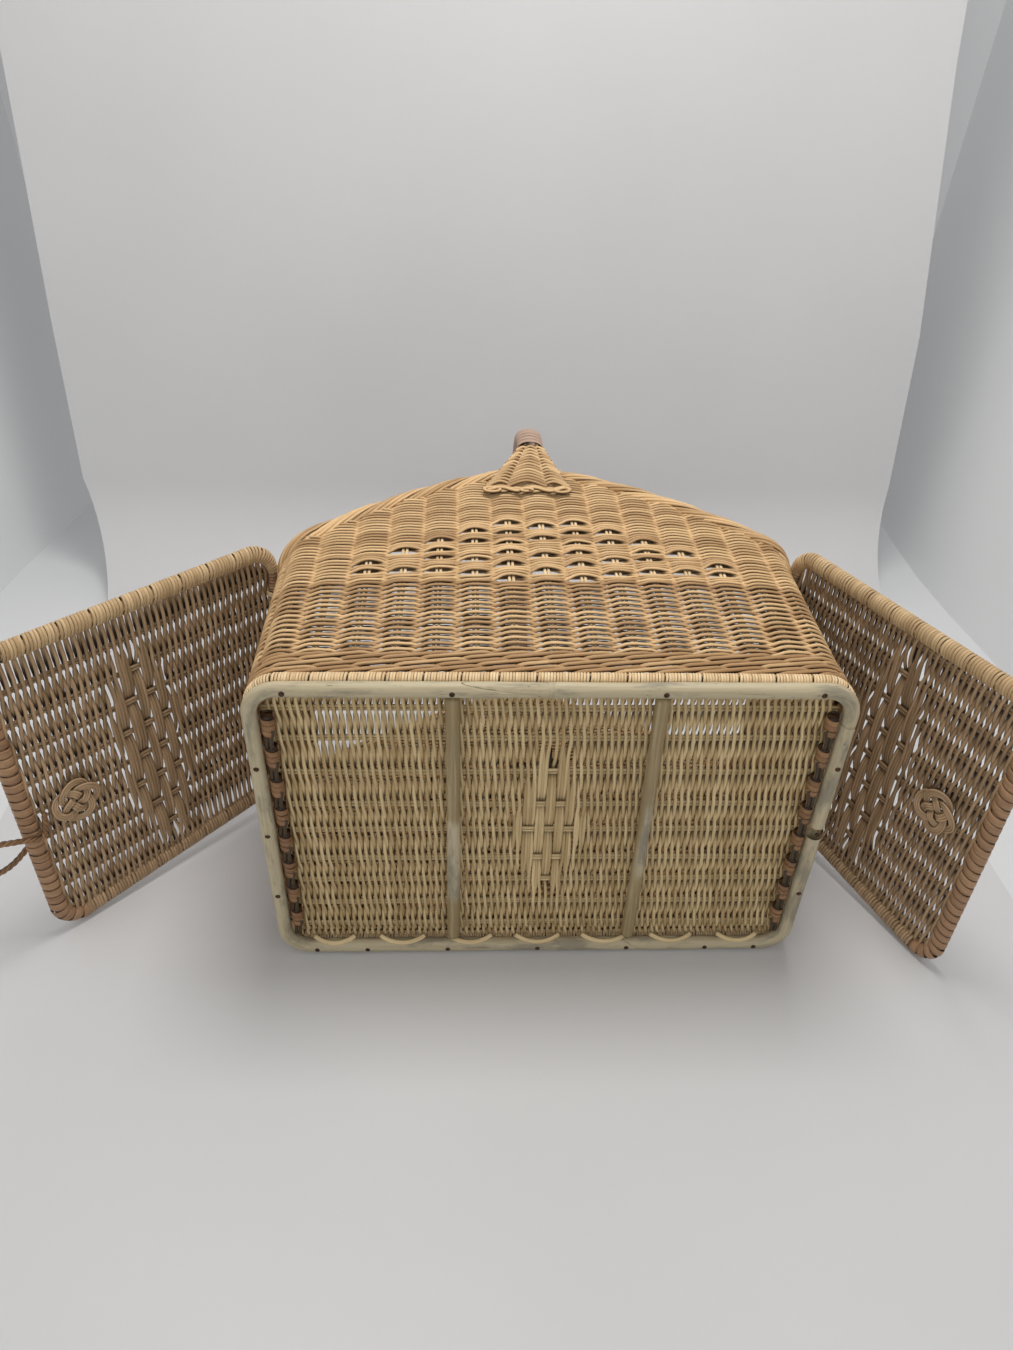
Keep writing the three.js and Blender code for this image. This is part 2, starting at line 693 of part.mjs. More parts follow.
/** Curled reed along the fan's lower edge, scalloped between the ribs. */
function fanEdge(side) {
  const face = wallHalfWidth(borderHeight(0), 0) + FAN_THICKNESS / 2 + FAN_EDGE_DIAMETER / 2;
  const low = fanTop() - 2 * CLEARANCE - FAN_HEIGHT - FAN_EDGE_DIAMETER / 2;
  const points = [];
  const steps = 4 * FAN_RIBS;
  for (let i = 0; i <= steps; i += 1) {
    const x = lerp(-0.5, 0.5, i / steps) * FAN_WIDTH;
    const scallop = FAN_EDGE_SCALLOP * Math.abs(Math.sin((Math.PI * i) / 4));
    points.push(vec(x, side * face, low - FAN_EDGE_SCALLOP + scallop));
  }
  return sweep(points, ellipse(FAN_EDGE_DIAMETER, FAN_EDGE_DIAMETER, 6), { up: vec(0, side, 0) });
}

/** Half width of the lid's outer edge at a distance from its hinge. */
function lidHalfWidth(distance) {
  return lerp(LID_HINGE_WIDTH, LID_FREE_WIDTH, distance / LID_LENGTH) / 2;
}

/** Wrapped roll along the hinge edge, between the bends of the side rolls; the lid turns about its middle. */
function lidHingeRoll() {
  const reach = lidHalfWidth(0) - SIDE_ROLL_WIDTH / 2 - LID_HINGE_BEND - BEND_LEAD - CLEARANCE;
  const path = [vec(0, -reach, 0), vec(0, reach, 0)];
  return sweep(path, ellipse(HINGE_ROLL_DIAMETER, HINGE_ROLL_DIAMETER, 10));
}

/** Distance from the hinge where the side rolls hand over to the free-edge roll. */
function lidSideEnd() {
  return LID_LENGTH - SIDE_ROLL_WIDTH / 2 - LID_CORNER_RADIUS;
}

/** Pale wrapped roll round a hinge corner and along one side of the lid, with a groove at every few turns. */
function lidSideRoll(side) {
  const turn = lidHalfWidth(0) - SIDE_ROLL_WIDTH / 2 - LID_HINGE_BEND;
  const bendSteps = 4;
  const beads = 8;
  const path = [vec(0, side * (turn - BEND_LEAD), 0)];
  const sizes = [0];
  for (let k = 0; k <= bendSteps; k += 1) {
    const angle = rad((90 * k) / bendSteps);
    const x = LID_HINGE_BEND * (1 - Math.cos(angle));
    const y = turn + LID_HINGE_BEND * Math.sin(angle) + lidHalfWidth(x) - lidHalfWidth(0);
    path.push(vec(x, side * y, 0));
    sizes.push(k / bendSteps);
  }
  const groove = 0.93;
  for (let i = 1; i <= 2 * beads; i += 1) {
    const x = lerp(LID_HINGE_BEND, lidSideEnd() - CLEARANCE, i / (2 * beads));
    path.push(vec(x, side * (lidHalfWidth(x) - SIDE_ROLL_WIDTH / 2), 0));
    sizes.push(i % 2 === 0 ? groove : 1);
  }
  return sweep(path, (i) => ellipse(
    lerp(HINGE_ROLL_DIAMETER, SIDE_ROLL_WIDTH, sizes[i]),
    lerp(HINGE_ROLL_DIAMETER, SIDE_ROLL_THICKNESS, sizes[i]),
    8,
  ));
}

/** Dark wrapped roll along the free edge, bent round both corners. */
function lidFreeRoll() {
  const inset = SIDE_ROLL_WIDTH / 2;
  const x = LID_LENGTH - inset;
  const radius = LID_CORNER_RADIUS;
  const steps = 4;
  const half = [];
  const start = lidSideEnd();
  half.push(vec(start, lidHalfWidth(start) - inset, 0));
  half.push(vec(start + 1, lidHalfWidth(start + 1) - inset, 0));
  for (let k = 1; k <= steps; k += 1) {
    const angle = rad((90 * k) / steps);
    const y = lidHalfWidth(x) - inset - radius + radius * Math.cos(angle);
    half.push(vec(x - radius + radius * Math.sin(angle), y, 0));
  }
  const mirrored = half.map(({ x: a, y, z }) => vec(a, -y, z)).reverse();
  return sweep([...half, ...mirrored], ellipse(SIDE_ROLL_WIDTH, SIDE_ROLL_THICKNESS, 8));
}

/** Places of the eyes in the middle of a lid: a lozenge, one row on each stake. */
function lidEyes() {
  return LID_EYE_ROWS.flatMap((count, row) => {
    const y = (row - (LID_EYE_ROWS.length - 1) / 2) * LID_STAKE_PITCH;
    const first = LID_EYE_DISTANCE - ((count - 1) / 2) * LID_EYE_PITCH;
    return Array.from({ length: count }, (_, k) => [first + k * LID_EYE_PITCH, y]);
  });
}

/** Outline across the stakes of a lid's panel: thick over each stake, thin between two stakes. */
function stakedOutline() {
  const gaps = Math.ceil(LID_FREE_WIDTH / LID_STAKE_PITCH);
  const face = [];
  for (let i = -gaps; i <= gaps; i += 1) {
    face.push([(i * LID_STAKE_PITCH) / 2, LID_WEAVE_THICKNESS / 2 - (i % 2 === 0 ? 0 : LID_RIB_SINK)]);
  }
  return [...face, ...face.map(([across, out]) => [across, -out]).reverse()];
}

/** Plan outline of a lid's panel inside its rolls, rounded at all four corners. */
function lidPanelOutline() {
  const inset = SIDE_ROLL_WIDTH + CLEARANCE;
  const near = HINGE_ROLL_DIAMETER / 2 + CLEARANCE;
  const bend = LID_HINGE_BEND;
  const radius = LID_CORNER_RADIUS - SIDE_ROLL_WIDTH / 2 - CLEARANCE;
  const turn = LID_LENGTH - inset - radius;
  const steps = 3;
  const nearY = lidHalfWidth(0) - SIDE_ROLL_WIDTH / 2 - bend;
  const nearRise = bend - SIDE_ROLL_WIDTH / 2 - CLEARANCE;
  const farY = lidHalfWidth(turn) - inset - radius;
  const edge = [];
  for (let k = 0; k <= steps; k += 1) {
    const angle = rad((90 * k) / steps);
    edge.push([bend - (bend - near) * Math.cos(angle), nearY + nearRise * Math.sin(angle)]);
  }
  for (let k = 0; k <= steps; k += 1) {
    const angle = rad(90 - (90 * k) / steps);
    edge.push([turn + radius * Math.cos(angle), farY + radius * Math.sin(angle)]);
  }
  return [...edge, ...edge.map(([x, y]) => [x, -y]).reverse()];
}

/** Woven panel of a lid, swelling over its stakes, with eyes in the middle and holes for the hinge loops. */
function lidWeave() {
  const deep = LID_WEAVE_THICKNESS;
  const sheet = plate(stakedOutline(), 0, LID_LENGTH).rotateX(Math.PI / 2).rotateZ(Math.PI / 2);
  const eyes = lidEyes().map(([x, y]) => plate(
    lensPoints(LID_EYE_HEIGHT, LID_EYE_WIDTH).map(([a, b]) => [x + a, y + b]), -deep, deep,
  ));
  const near = HINGE_ROLL_DIAMETER / 2 + CLEARANCE;
  const size = HINGE_LOOP_THICKNESS + 4 * CLEARANCE;
  const holes = loopPlaces().map((y) => {
    return new THREE.BoxGeometry(2 * LOOP_HOLE_LENGTH, size, 4 * deep).translate(near, y, 0);
  });
  return cut(common(sheet, plate(lidPanelOutline(), -deep, deep)), [...eyes, ...holes]);
}

/** Flat woven knot, set in from the free edge: one strand led round three times, over and under by turns. */
function lidKnot(inset, offset) {
  const leads = 3;
  const steps = 60;
  const points = [];
  for (let i = 0; i < steps; i += 1) {
    const turn = (2 * Math.PI * leads * i) / steps;
    const phase = (KNOT_BIGHTS * turn) / leads;
    const radius = KNOT_RADIUS + KNOT_SWING * Math.cos(phase);
    const rise = KNOT_WEAVE_RISE * Math.sin(2 * phase);
    points.push(vec(radius * Math.cos(turn), radius * Math.sin(turn), rise));
  }
  const height = LID_WEAVE_THICKNESS / 2 + KNOT_WEAVE_RISE + KNOT_STRAND / 2 + CLEARANCE;
  const knot = sweep(points, ellipse(KNOT_STRAND, KNOT_STRAND, 5), { closed: true });
  return knot.translate(LID_LENGTH - inset, offset, height);
}

/** A lid in its own frame: X from the hinge to the free edge, Y along the hinge, Z out of its outer face. */
function buildLid(name, side, knotInset, knotOffset) {
  const lid = new THREE.Group();
  lid.name = name;
  lid.add(
    part(`${name}_hinge_roll`, lidHingeRoll(), COLOURS.darkRoll, 0.6),
    part(`${name}_free_edge_roll`, lidFreeRoll(), COLOURS.darkRoll, 0.55),
    part(`${name}_side_roll_front`, lidSideRoll(side), COLOURS.paleRoll, 0.6),
    part(`${name}_side_roll_back`, lidSideRoll(-side), COLOURS.paleRoll, 0.6),
    part(`${name}_weave`, lidWeave(), COLOURS.shadedWeave, 0.7),
    part(`${name}_knot`, lidKnot(knotInset, knotOffset), COLOURS.golden, 0.55),
  );
  return lid;
}

/** Middle of the rim border at one end. */
function endBorder(side) {
  return vec(side * (wallHalfLength(END_HEIGHT) - WALL_THICKNESS / 2), 0, borderHeight(wallHalfLength(END_HEIGHT)));
}

/** Point of the hinge line in the middle of one end: the lid's roll lies against the border, outside it. */
function hingePoint(side) {
  const reach = (BORDER_DIAMETER + HINGE_ROLL_DIAMETER) / 2 + CLEARANCE;
  const angle = rad(HINGE_SIDE_ANGLE);
  return endBorder(side).add(vec(side * reach * Math.cos(angle), 0, reach * Math.sin(angle)));
}

/** Reed loop that ties a lid's hinge roll to the rim border of its end. */
function hingeLoop(side, y) {
  const steps = 14;
  const around = CLEARANCE + HINGE_LOOP_THICKNESS / 2;
  const held = [
    { middle: endBorder(side), radius: BORDER_DIAMETER / 2 + around },
    { middle: hingePoint(side), radius: HINGE_ROLL_DIAMETER / 2 + around },
  ];
  const points = [];
  for (let i = 0; i < steps; i += 1) {
    const angle = (2 * Math.PI * i) / steps;
    const outward = vec(Math.cos(angle), 0, Math.sin(angle));
    const reach = ({ middle, radius }) => middle.dot(outward) + radius;
    const nearest = reach(held[0]) > reach(held[1]) ? held[0] : held[1];
    points.push(nearest.middle.clone().addScaledVector(outward, nearest.radius / Math.cos(Math.PI / steps)).setY(y));
  }
  return sweep(points, rectangle(HINGE_LOOP_THICKNESS, HINGE_LOOP_THICKNESS), { closed: true, up: vec(0, 1, 0) });
}

/** Closing cord: a loop of twisted reed from the left lid's weave, out over its free edge and back. */
function closingLoop() {
  const over = (SIDE_ROLL_THICKNESS + CORD_DIAMETER) / 2;
  const route = new THREE.CatmullRomCurve3([
    vec(LID_LENGTH - 18, 8, LID_WEAVE_THICKNESS / 2 + CORD_DIAMETER),
    vec(LID_LENGTH - 12, 26, over),
    vec(LID_LENGTH + 2, 20, over),
    vec(LID_LENGTH + 26, 14, 2),
    vec(LID_LENGTH + 52, 24, -8),
    vec(LID_LENGTH + 60, 42, -14),
    vec(LID_LENGTH + 40, 54, -16),
    vec(LID_LENGTH + 12, 50, -over),
    vec(LID_LENGTH - 10, 38, -over),
    vec(LID_LENGTH - 22, 30, -LID_WEAVE_THICKNESS / 2 - CORD_DIAMETER),
  ]);
  return tube(route, CORD_DIAMETER, 8, 22);
}

/** Named mesh with its own material. */
function part(name, geometry, color, roughness, metalness = 0) {
  const mesh = new THREE.Mesh(geometry, new THREE.MeshStandardMaterial({ color, roughness, metalness }));
  mesh.name = name;
  return mesh;
}

/** Upright basket without its lids. */
function buildBody() {
  const body = new THREE.Group();
  body.name = "basket_body";
  body.add(
    part("base_frame_left", baseFrameHalf(-1), COLOURS.pole, 0.6),
    part("base_frame_right", baseFrameHalf(1), COLOURS.pole, 0.6),
    part("cross_bar_left", crossBar(LEFT_BAR_PLACE), COLOURS.pole, 0.65),
    part("cross_bar_right", crossBar(RIGHT_BAR_PLACE), COLOURS.pole, 0.65),
    ...nailPoints().map((point, i) => part(`frame_nail_${i + 1}`, frameNail(point), COLOURS.iron, 0.5, 0.8)),
    part("base_weave", baseWeave(), COLOURS.straw, 0.7),
    part("base_coil_left", baseCoil(-1), COLOURS.coil, 0.65),
    part("base_coil_right", baseCoil(1), COLOURS.coil, 0.65),
    ...lashingPlaces().map((x, i) => part(`base_lashing_${i + 1}`, baseLashing(x), COLOURS.straw, 0.6)),
    part("foot_binding", footBinding(), COLOURS.golden, 0.6),
    part("waling_band", walingBand(), COLOURS.wall, 0.65),
    part("wall_weave", wallWeave(), COLOURS.wall, 0.65),
    part("rim_border", rimBorder(), COLOURS.wall, 0.6),
    ...loopPlaces().map((y, i) => part(`hinge_loop_left_${i + 1}`, hingeLoop(-1, y), COLOURS.golden, 0.6)),
    ...loopPlaces().map((y, i) => part(`hinge_loop_right_${i + 1}`, hingeLoop(1, y), COLOURS.golden, 0.6)),
    part("handle_core", handleCore(), COLOURS.golden, 0.65),
    part("handle_wrap", handleWrap(), COLOURS.handle, 0.55),
    part("handle_fan_front", handleFan(-1), COLOURS.golden, 0.6),
    part("handle_fan_back", handleFan(1), COLOURS.golden, 0.6),
    part("fan_edge_front", fanEdge(-1), COLOURS.golden, 0.6),
    part("fan_edge_back", fanEdge(1), COLOURS.golden, 0.6),
  );
  return body;
}

/** Lid set on its hinge line, turned open by an angle from closed flat over the basket. */
function hangLid(lid, side, angle) {
  lid.rotation.order = "YZX";
  lid.rotation.y = side * rad(angle);
  lid.rotation.z = side > 0 ? Math.PI : 0;
  lid.position.copy(hingePoint(side));
  return lid;
}

/** The whole basket, laid on its back wall and centred over the ground it covers. */
function buildBasket() {
  const basket = new THREE.Group();
  basket.name = "picnic_basket";
  basket.add(buildBody());
  const leftLid = buildLid("lid_left", -1, LEFT_KNOT_INSET, LEFT_KNOT_OFFSET);
  leftLid.add(part("closing_loop", closingLoop(), COLOURS.coil, 0.7));
  const rightLid = buildLid("lid_right", 1, RIGHT_KNOT_INSET, RIGHT_KNOT_OFFSET);
  basket.add(hangLid(leftLid, -1, LEFT_LID_ANGLE), hangLid(rightLid, 1, RIGHT_LID_ANGLE));
  basket.rotation.x = -Math.PI / 2 + rad(LYING_LEAN);
  basket.updateMatrixWorld(true);
  const reach = new THREE.Box3();
  basket.traverse((node) => {
    if (node.isMesh && node.name !== "closing_loop") {
      reach.union(new THREE.Box3().setFromObject(node, true));
    }
  });
  const middle = reach.getCenter(vec());
  basket.position.set(-middle.x, -middle.y, -reach.min.z);
  basket.updateMatrixWorld(true);
  return basket;
}

export default buildBasket();
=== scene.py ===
"""Looks of the gabled wicker picnic basket, reed by reed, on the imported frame.

Pieces are built in millimetres in the upright basket's own space (X along the length, Y from the front wall to
the back wall, Z up from the foot) or in a lid's space, and are then placed in the row frame in metres.
"""

import logging
import math
from collections.abc import Iterator, Sequence
from dataclasses import dataclass
from enum import Enum, IntEnum

import bmesh
import bpy
import numpy as np
from mathutils import Matrix


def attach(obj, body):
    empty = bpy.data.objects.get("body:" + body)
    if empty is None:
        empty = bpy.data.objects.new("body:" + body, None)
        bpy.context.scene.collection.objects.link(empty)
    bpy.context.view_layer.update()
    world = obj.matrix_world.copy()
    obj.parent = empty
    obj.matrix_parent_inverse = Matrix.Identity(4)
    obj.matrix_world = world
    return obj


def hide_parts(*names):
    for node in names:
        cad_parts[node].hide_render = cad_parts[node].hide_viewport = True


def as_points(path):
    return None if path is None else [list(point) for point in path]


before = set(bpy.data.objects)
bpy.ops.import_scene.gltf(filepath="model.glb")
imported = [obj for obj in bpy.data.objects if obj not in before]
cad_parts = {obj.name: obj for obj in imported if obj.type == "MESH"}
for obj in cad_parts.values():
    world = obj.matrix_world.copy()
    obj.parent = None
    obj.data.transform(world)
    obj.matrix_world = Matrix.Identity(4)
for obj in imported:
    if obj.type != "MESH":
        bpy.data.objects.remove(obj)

LOG = logging.getLogger("picnic_basket")
MM = 0.001

Colour = tuple[float, float, float]


class Way(IntEnum):
    """Sign of a direction, with a word for names."""

    @property
    def word(self) -> str:
        """Word for names."""
        return self.name.lower()


class Side(Way):
    """Ends of the basket, and the lids hinged there."""

    LEFT = -1
    RIGHT = 1


class LongWall(Way):
    """The two long walls."""

    FRONT = -1
    BACK = 1


class Body(Enum):
    """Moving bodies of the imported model."""

    BASKET = "basket"
    LID_LEFT = "lid_left"
    LID_RIGHT = "lid_right"


# Places of the spaces in the row frame, in millimetres and degrees
BODY_ORIGIN = (31.140, -206.625, 125.167)
LYING_LEAN = 3.4
HINGES = {Side.LEFT: (-171.230, -16.910, 136.440), Side.RIGHT: (233.510, -16.910, 136.440)}
LID_ANGLES = {Side.LEFT: 226.8, Side.RIGHT: 246.0}

LENGTHWAYS = np.array([1.0, 0.0, 0.0])
UP = np.array([0.0, 0.0, 1.0])


def linear(code: str) -> Colour:
    """Linear red, green and blue of a display colour given as six hexadecimal digits."""
    values = [int(code[i : i + 2], 16) / 255 for i in (0, 2, 4)]
    return tuple(v / 12.92 if v <= 0.04045 else ((v + 0.055) / 1.055) ** 2.4 for v in values)


def unit(vectors: np.ndarray) -> np.ndarray:
    """Vectors scaled to length one."""
    return vectors / np.maximum(np.linalg.norm(vectors, axis=-1, keepdims=True), 1e-12)


def ease(share: np.ndarray) -> np.ndarray:
    """Smooth step from 0 to 1 over shares from 0 to 1."""
    clipped = np.clip(share, 0.0, 1.0)
    return clipped * clipped * (3 - 2 * clipped)


def travelled(line: np.ndarray) -> np.ndarray:
    """Distance from a line's start to each of its points."""
    return np.concatenate([[0.0], np.cumsum(np.linalg.norm(np.diff(line, axis=0), axis=1))])


def course(x: np.ndarray | float, y: np.ndarray | float, z: np.ndarray | float) -> np.ndarray:
    """Line of points from coordinates, where a number holds for all of them."""
    return np.stack(np.broadcast_arrays(x, y, z), axis=1).astype(float)


def ring_tangent(line: np.ndarray) -> np.ndarray:
    """Directions of length one along a closed line."""
    return unit(np.roll(line, -1, axis=0) - np.roll(line, 1, axis=0))


def add_object(name: str, data: bpy.types.ID) -> bpy.types.Object:
    """Put an object in the scene.

    Args:
        name: Its name.
        data: Its mesh, lamp or camera.

    Returns:
        The object.
    """
    piece = bpy.data.objects.new(name, data)
    bpy.context.scene.collection.objects.link(piece)
    return piece


def view_matrix(
    right: Sequence[float], up: Sequence[float], ahead: Sequence[float], place: Sequence[float]
) -> Matrix:
    """Matrix of a lamp or camera from its directions and its place in metres."""
    return Matrix([[right[i], up[i], -ahead[i], place[i]] for i in range(3)] + [[0, 0, 0, 1]])


def spline(points: list[tuple[float, float, float]], count: int) -> np.ndarray:
    """Smooth line through given points, evenly spaced along its length.

    Args:
        points: Points that the line passes through.
        count: Number of points wanted.

    Returns:
        Array of count points.
    """
    p = np.array(points, float)
    p = np.vstack([2 * p[0] - p[1], p, 2 * p[-1] - p[-2]])
    fine = []
    for i in range(1, len(p) - 2):
        a, b, c, d = p[i - 1 : i + 3]
        u = np.linspace(0, 1, 24, endpoint=False)[:, None]
        fine.append(0.5 * (2 * b + (c - a) * u + (2 * a - 5 * b + 4 * c - d) * u**2 + (3 * b - a - 3 * c + d) * u**3))
    line = np.vstack([*fine, p[-2][None]])
    reach = travelled(line)
    even = np.linspace(0, reach[-1], count)
    return np.stack([np.interp(even, reach, line[:, k]) for k in range(3)], axis=1)


@dataclass(frozen=True)
class Space:
    """A place in the row frame where pieces are built in millimetres.

    Args:
        origin: Origin in the row frame, in millimetres.
        basis: Columns are the space's axes in the row frame.
    """

    origin: np.ndarray
    basis: np.ndarray

    def place(self, points: np.ndarray) -> np.ndarray:
        """Row frame points, in metres, of points in this space."""
        return (self.origin + points @ self.basis.T) * MM

    @staticmethod
    def upright() -> "Space":
        """Space of the upright basket, which lies on its back wall.

        Returns:
            The space.
        """
        lean = math.radians(LYING_LEAN)
        basis = np.array([[1, 0, 0], [0, math.sin(lean), math.cos(lean)], [0, -math.cos(lean), math.sin(lean)]])
        return Space(np.array(BODY_ORIGIN), basis)

    @staticmethod
    def lid(side: Side) -> "Space":
        """Space of a lid: X from the hinge to the free edge, Y along the hinge, Z out of the outer face.

        Args:
            side: End of the basket that the lid is hinged to.

        Returns:
            The space.
        """
        body = Space.upright().basis
        angle = math.radians(LID_ANGLES[side])
        out = np.array([-side * math.cos(angle), 0.0, math.sin(angle)])
        along = np.array([0.0, -float(side), 0.0])
        face = np.cross(out, along)
        return Space(np.array(HINGES[side]), body @ np.stack([out, along, face], axis=1))


class Strands:
    """Reeds and strips collected into one mesh.

    Every point also keeps its place in its own reed, its reed's tint and how deep it lies in the weave, which the
    finishes read; that depth darkens the reed as painted shade.
    """

    def __init__(self, seed: int, sides: int = 6) -> None:
        """Start an empty collection.

        Args:
            seed: Seed of the reeds' tints.
            sides: Sides of each reed's section.
        """
        self.random = np.random.default_rng(seed)
        self.sides = sides
        self.points: list[np.ndarray] = []
        self.places: list[np.ndarray] = []
        self.tints: list[np.ndarray] = []
        self.painted_shade_depths: list[np.ndarray] = []
        self.quads: list[np.ndarray] = []
        self.caps: list[np.ndarray] = []
        self.total = 0

    def add(
        self,
        line: np.ndarray,
        radius: float | np.ndarray,
        facing: np.ndarray,
        flat: float = 1.0,
        closed: bool = False,
        tint: float | np.ndarray | None = None,
        sway: np.ndarray | float = 1.0,
    ) -> None:
        """Add one reed.

        Args:
            line: Middle line of the reed, in millimetres.
            radius: Half of its width, for all or for each point.
            facing: Direction that its thickness points in, for all or for each point.
            flat: Thickness over width.
            closed: Whether its end joins its start.
            tint: Tint from 0, dark, to 1, pale; drawn by chance if left out.
            sway: How far it lies out of its sheet, from -1 on the far side to 1 on the side that it faces; it sets
                how much painted shade the reed gets.
        """
        count = len(line)
        if closed:
            tangent = ring_tangent(line)
        else:
            tangent = unit(np.gradient(line, axis=0))
        facing = np.broadcast_to(facing, line.shape)
        side = unit(np.cross(tangent, facing))
        rise = np.cross(side, tangent)
        angle = 2 * np.pi * (np.arange(self.sides) + 0.5) / self.sides
        width = np.broadcast_to(radius, (count,))[:, None, None]
        across = width * np.cos(angle)[None, :, None]
        out = width * flat * np.sin(angle)[None, :, None]
        ring = line[:, None, :] + across * side[:, None, :] + out * rise[:, None, :]
        reach = travelled(line)
        start = self.random.uniform(0, 4000)
        run = np.broadcast_to((reach + start)[:, None, None], (count, self.sides, 1))
        place = np.concatenate([across, out, run], axis=2)
        shade = self.random.uniform(0, 1) if tint is None else tint
        self.points.append(ring.reshape(-1, 3))
        self.places.append(place.reshape(-1, 3))
        self.tints.append(np.repeat(np.broadcast_to(shade, (count,)), self.sides))
        # Painted shade: points that face into the sheet, and reeds on its far side, get a darkness from 0 to 1 that
        # the finishes paint as shadow.
        outward, sway = np.sin(angle)[None, :], np.broadcast_to(sway, (count,))[:, None]
        open_side = np.abs(outward) * (1 - np.abs(sway)) + outward * sway
        self.painted_shade_depths.append(np.clip((0.6 - open_side) / 1.1, 0.0, 1.0).ravel())
        index = self.total + np.arange(count * self.sides).reshape(count, self.sides)
        ahead = np.roll(index, -1, axis=0) if closed else index[1:]
        here = index if closed else index[:-1]
        corners = [here, np.roll(here, -1, axis=1), np.roll(ahead, -1, axis=1), ahead]
        self.quads.append(np.stack(corners, axis=2).reshape(-1, 4))
        if not closed:
            self.caps.append(np.stack([index[0][::-1], index[-1]]))
        self.total += count * self.sides

    def build(self, name: str, space: Space, material: bpy.types.Material) -> bpy.types.Object:
        """Make the mesh object.

        Args:
            name: Name of the piece.
            space: Space that the reeds were built in.
            material: Finish of the piece.

        Returns:
            The new object.
        """
        quads = np.concatenate(self.quads)
        caps = np.concatenate(self.caps) if self.caps else np.empty((0, self.sides), int)
        loops = np.concatenate([quads.ravel(), caps.ravel()])
        starts = np.concatenate([4 * np.arange(len(quads)), 4 * len(quads) + self.sides * np.arange(len(caps))])
        mesh = bpy.data.meshes.new(name)
        points = space.place(np.concatenate(self.points))
        mesh.vertices.add(len(points))
        mesh.vertices.foreach_set("co", points.ravel())
        mesh.loops.add(len(loops))
        mesh.loops.foreach_set("vertex_index", loops.astype(np.int32))
        mesh.polygons.add(len(starts))
        mesh.polygons.foreach_set("loop_start", starts.astype(np.int32))
        mesh.polygons.foreach_set("use_smooth", np.ones(len(starts), bool))
        place = mesh.attributes.new("strand_place", "FLOAT_VECTOR", "POINT")
        place.data.foreach_set("vector", (np.concatenate(self.places) * MM).ravel().astype(np.float32))
        # The second attribute holds each point's painted shade.
        for title, values in (("strand_tint", self.tints), ("strand_painted_shade", self.painted_shade_depths)):
            shade = mesh.attributes.new(title, "FLOAT", "POINT")
            shade.data.foreach_set("value", np.concatenate(values).astype(np.float32))
        mesh.update(calc_edges=True)
        mesh.materials.append(material)
        return add_object(name, mesh)

    def wobble(self, count: int, size: float, closed: bool = False) -> np.ndarray:
        """Slow sideways drift of a reed.

        Args:
            count: Number of points.
            size: Size of the drift, in millimetres.
            closed: Whether it ends as it starts.

        Returns:
            Drift at each point.
        """
        knots = max(3, count // 14)
        values = self.random.normal(0, size, knots)
        drift = np.interp(np.linspace(0, knots - 1, count), np.arange(knots), values)
        return drift + (drift[0] - drift[-1]) * np.arange(count) / count if closed else drift

    def wind(
        self,
        path: np.ndarray,
        up: np.ndarray,
        half: tuple[float | np.ndarray, float | np.ndarray],
        pitch: float,
        width: float,
        thickness: float,
        samples: int = 14,
        closed: bool = False,
        group: int = 0,
        group_gap: float = 0.0,
        core: float = 0.9,
    ) -> None:
        """Wind a reed or strip round a rod along a path.

        Args:
            path: Middle line of the rod.
            up: Direction of the rod section's second axis, for all or for each point.
            half: Half width and half thickness of the wound rod, for all or for each point of the path.
            pitch: Distance from one turn to the next.
            width: Width of the reed or strip.
            thickness: Thickness of the reed or strip.
            samples: Points in one turn.
            closed: Whether the path is closed.
            group: Turns before a slightly wider gap, or 0 for none.
            group_gap: Size of that gap.
            core: Share of the half sizes that the plain rod inside fills.
        """
        loop = np.vstack([path, path[:1]]) if closed else path
        ups = np.broadcast_to(up, path.shape)
        ups = np.vstack([ups, ups[:1]]) if closed else ups
        reach = travelled(loop)
        turns = max(1, int(round(reach[-1] / pitch)))
        extra = np.floor(np.arange(turns + 1) / group) * group_gap if group else np.zeros(turns + 1)
        jitter = self.random.normal(0, 0.05 * pitch, turns + 1)
        marks = np.arange(turns + 1) * pitch + extra + jitter
        marks = (marks - marks[0]) * reach[-1] / (marks[-1] - marks[0])
        turn = np.arange(turns * samples + 1) / samples
        s = np.interp(turn, np.arange(turns + 1), marks)
        middle = np.stack([np.interp(s, reach, loop[:, k]) for k in range(3)], axis=1)
        direction = unit(np.stack([np.interp(s, reach, np.gradient(loop, axis=0)[:, k]) for k in range(3)], axis=1))
        rise = np.stack([np.interp(s, reach, ups[:, k]) for k in range(3)], axis=1)
        side = unit(np.cross(direction, rise))
        rise = np.cross(side, direction)
        angle = 2 * np.pi * turn
        halves = [np.broadcast_to(value, (len(path),)) for value in half]
        halves = [np.append(value, value[0]) if closed else value for value in halves]
        a, b = (np.interp(s, reach, value)[:, None] - thickness / 2 for value in halves)
        cos, sin = np.cos(angle)[:, None], np.sin(angle)[:, None]
        line = middle + a * cos * side + b * sin * rise
        radial = unit(cos * side / a + sin * rise / b)
        shade = np.interp(turn, np.arange(turns + 1), self.random.uniform(0.15, 1, turns + 1))
        self.add(line, width / 2, radial, flat=thickness / width, tint=shade)
        if core > 0:
            inner = np.minimum(*halves)[: len(path)] * core
            self.add(path, inner, ups[: len(path)], closed=closed, tint=0.0)


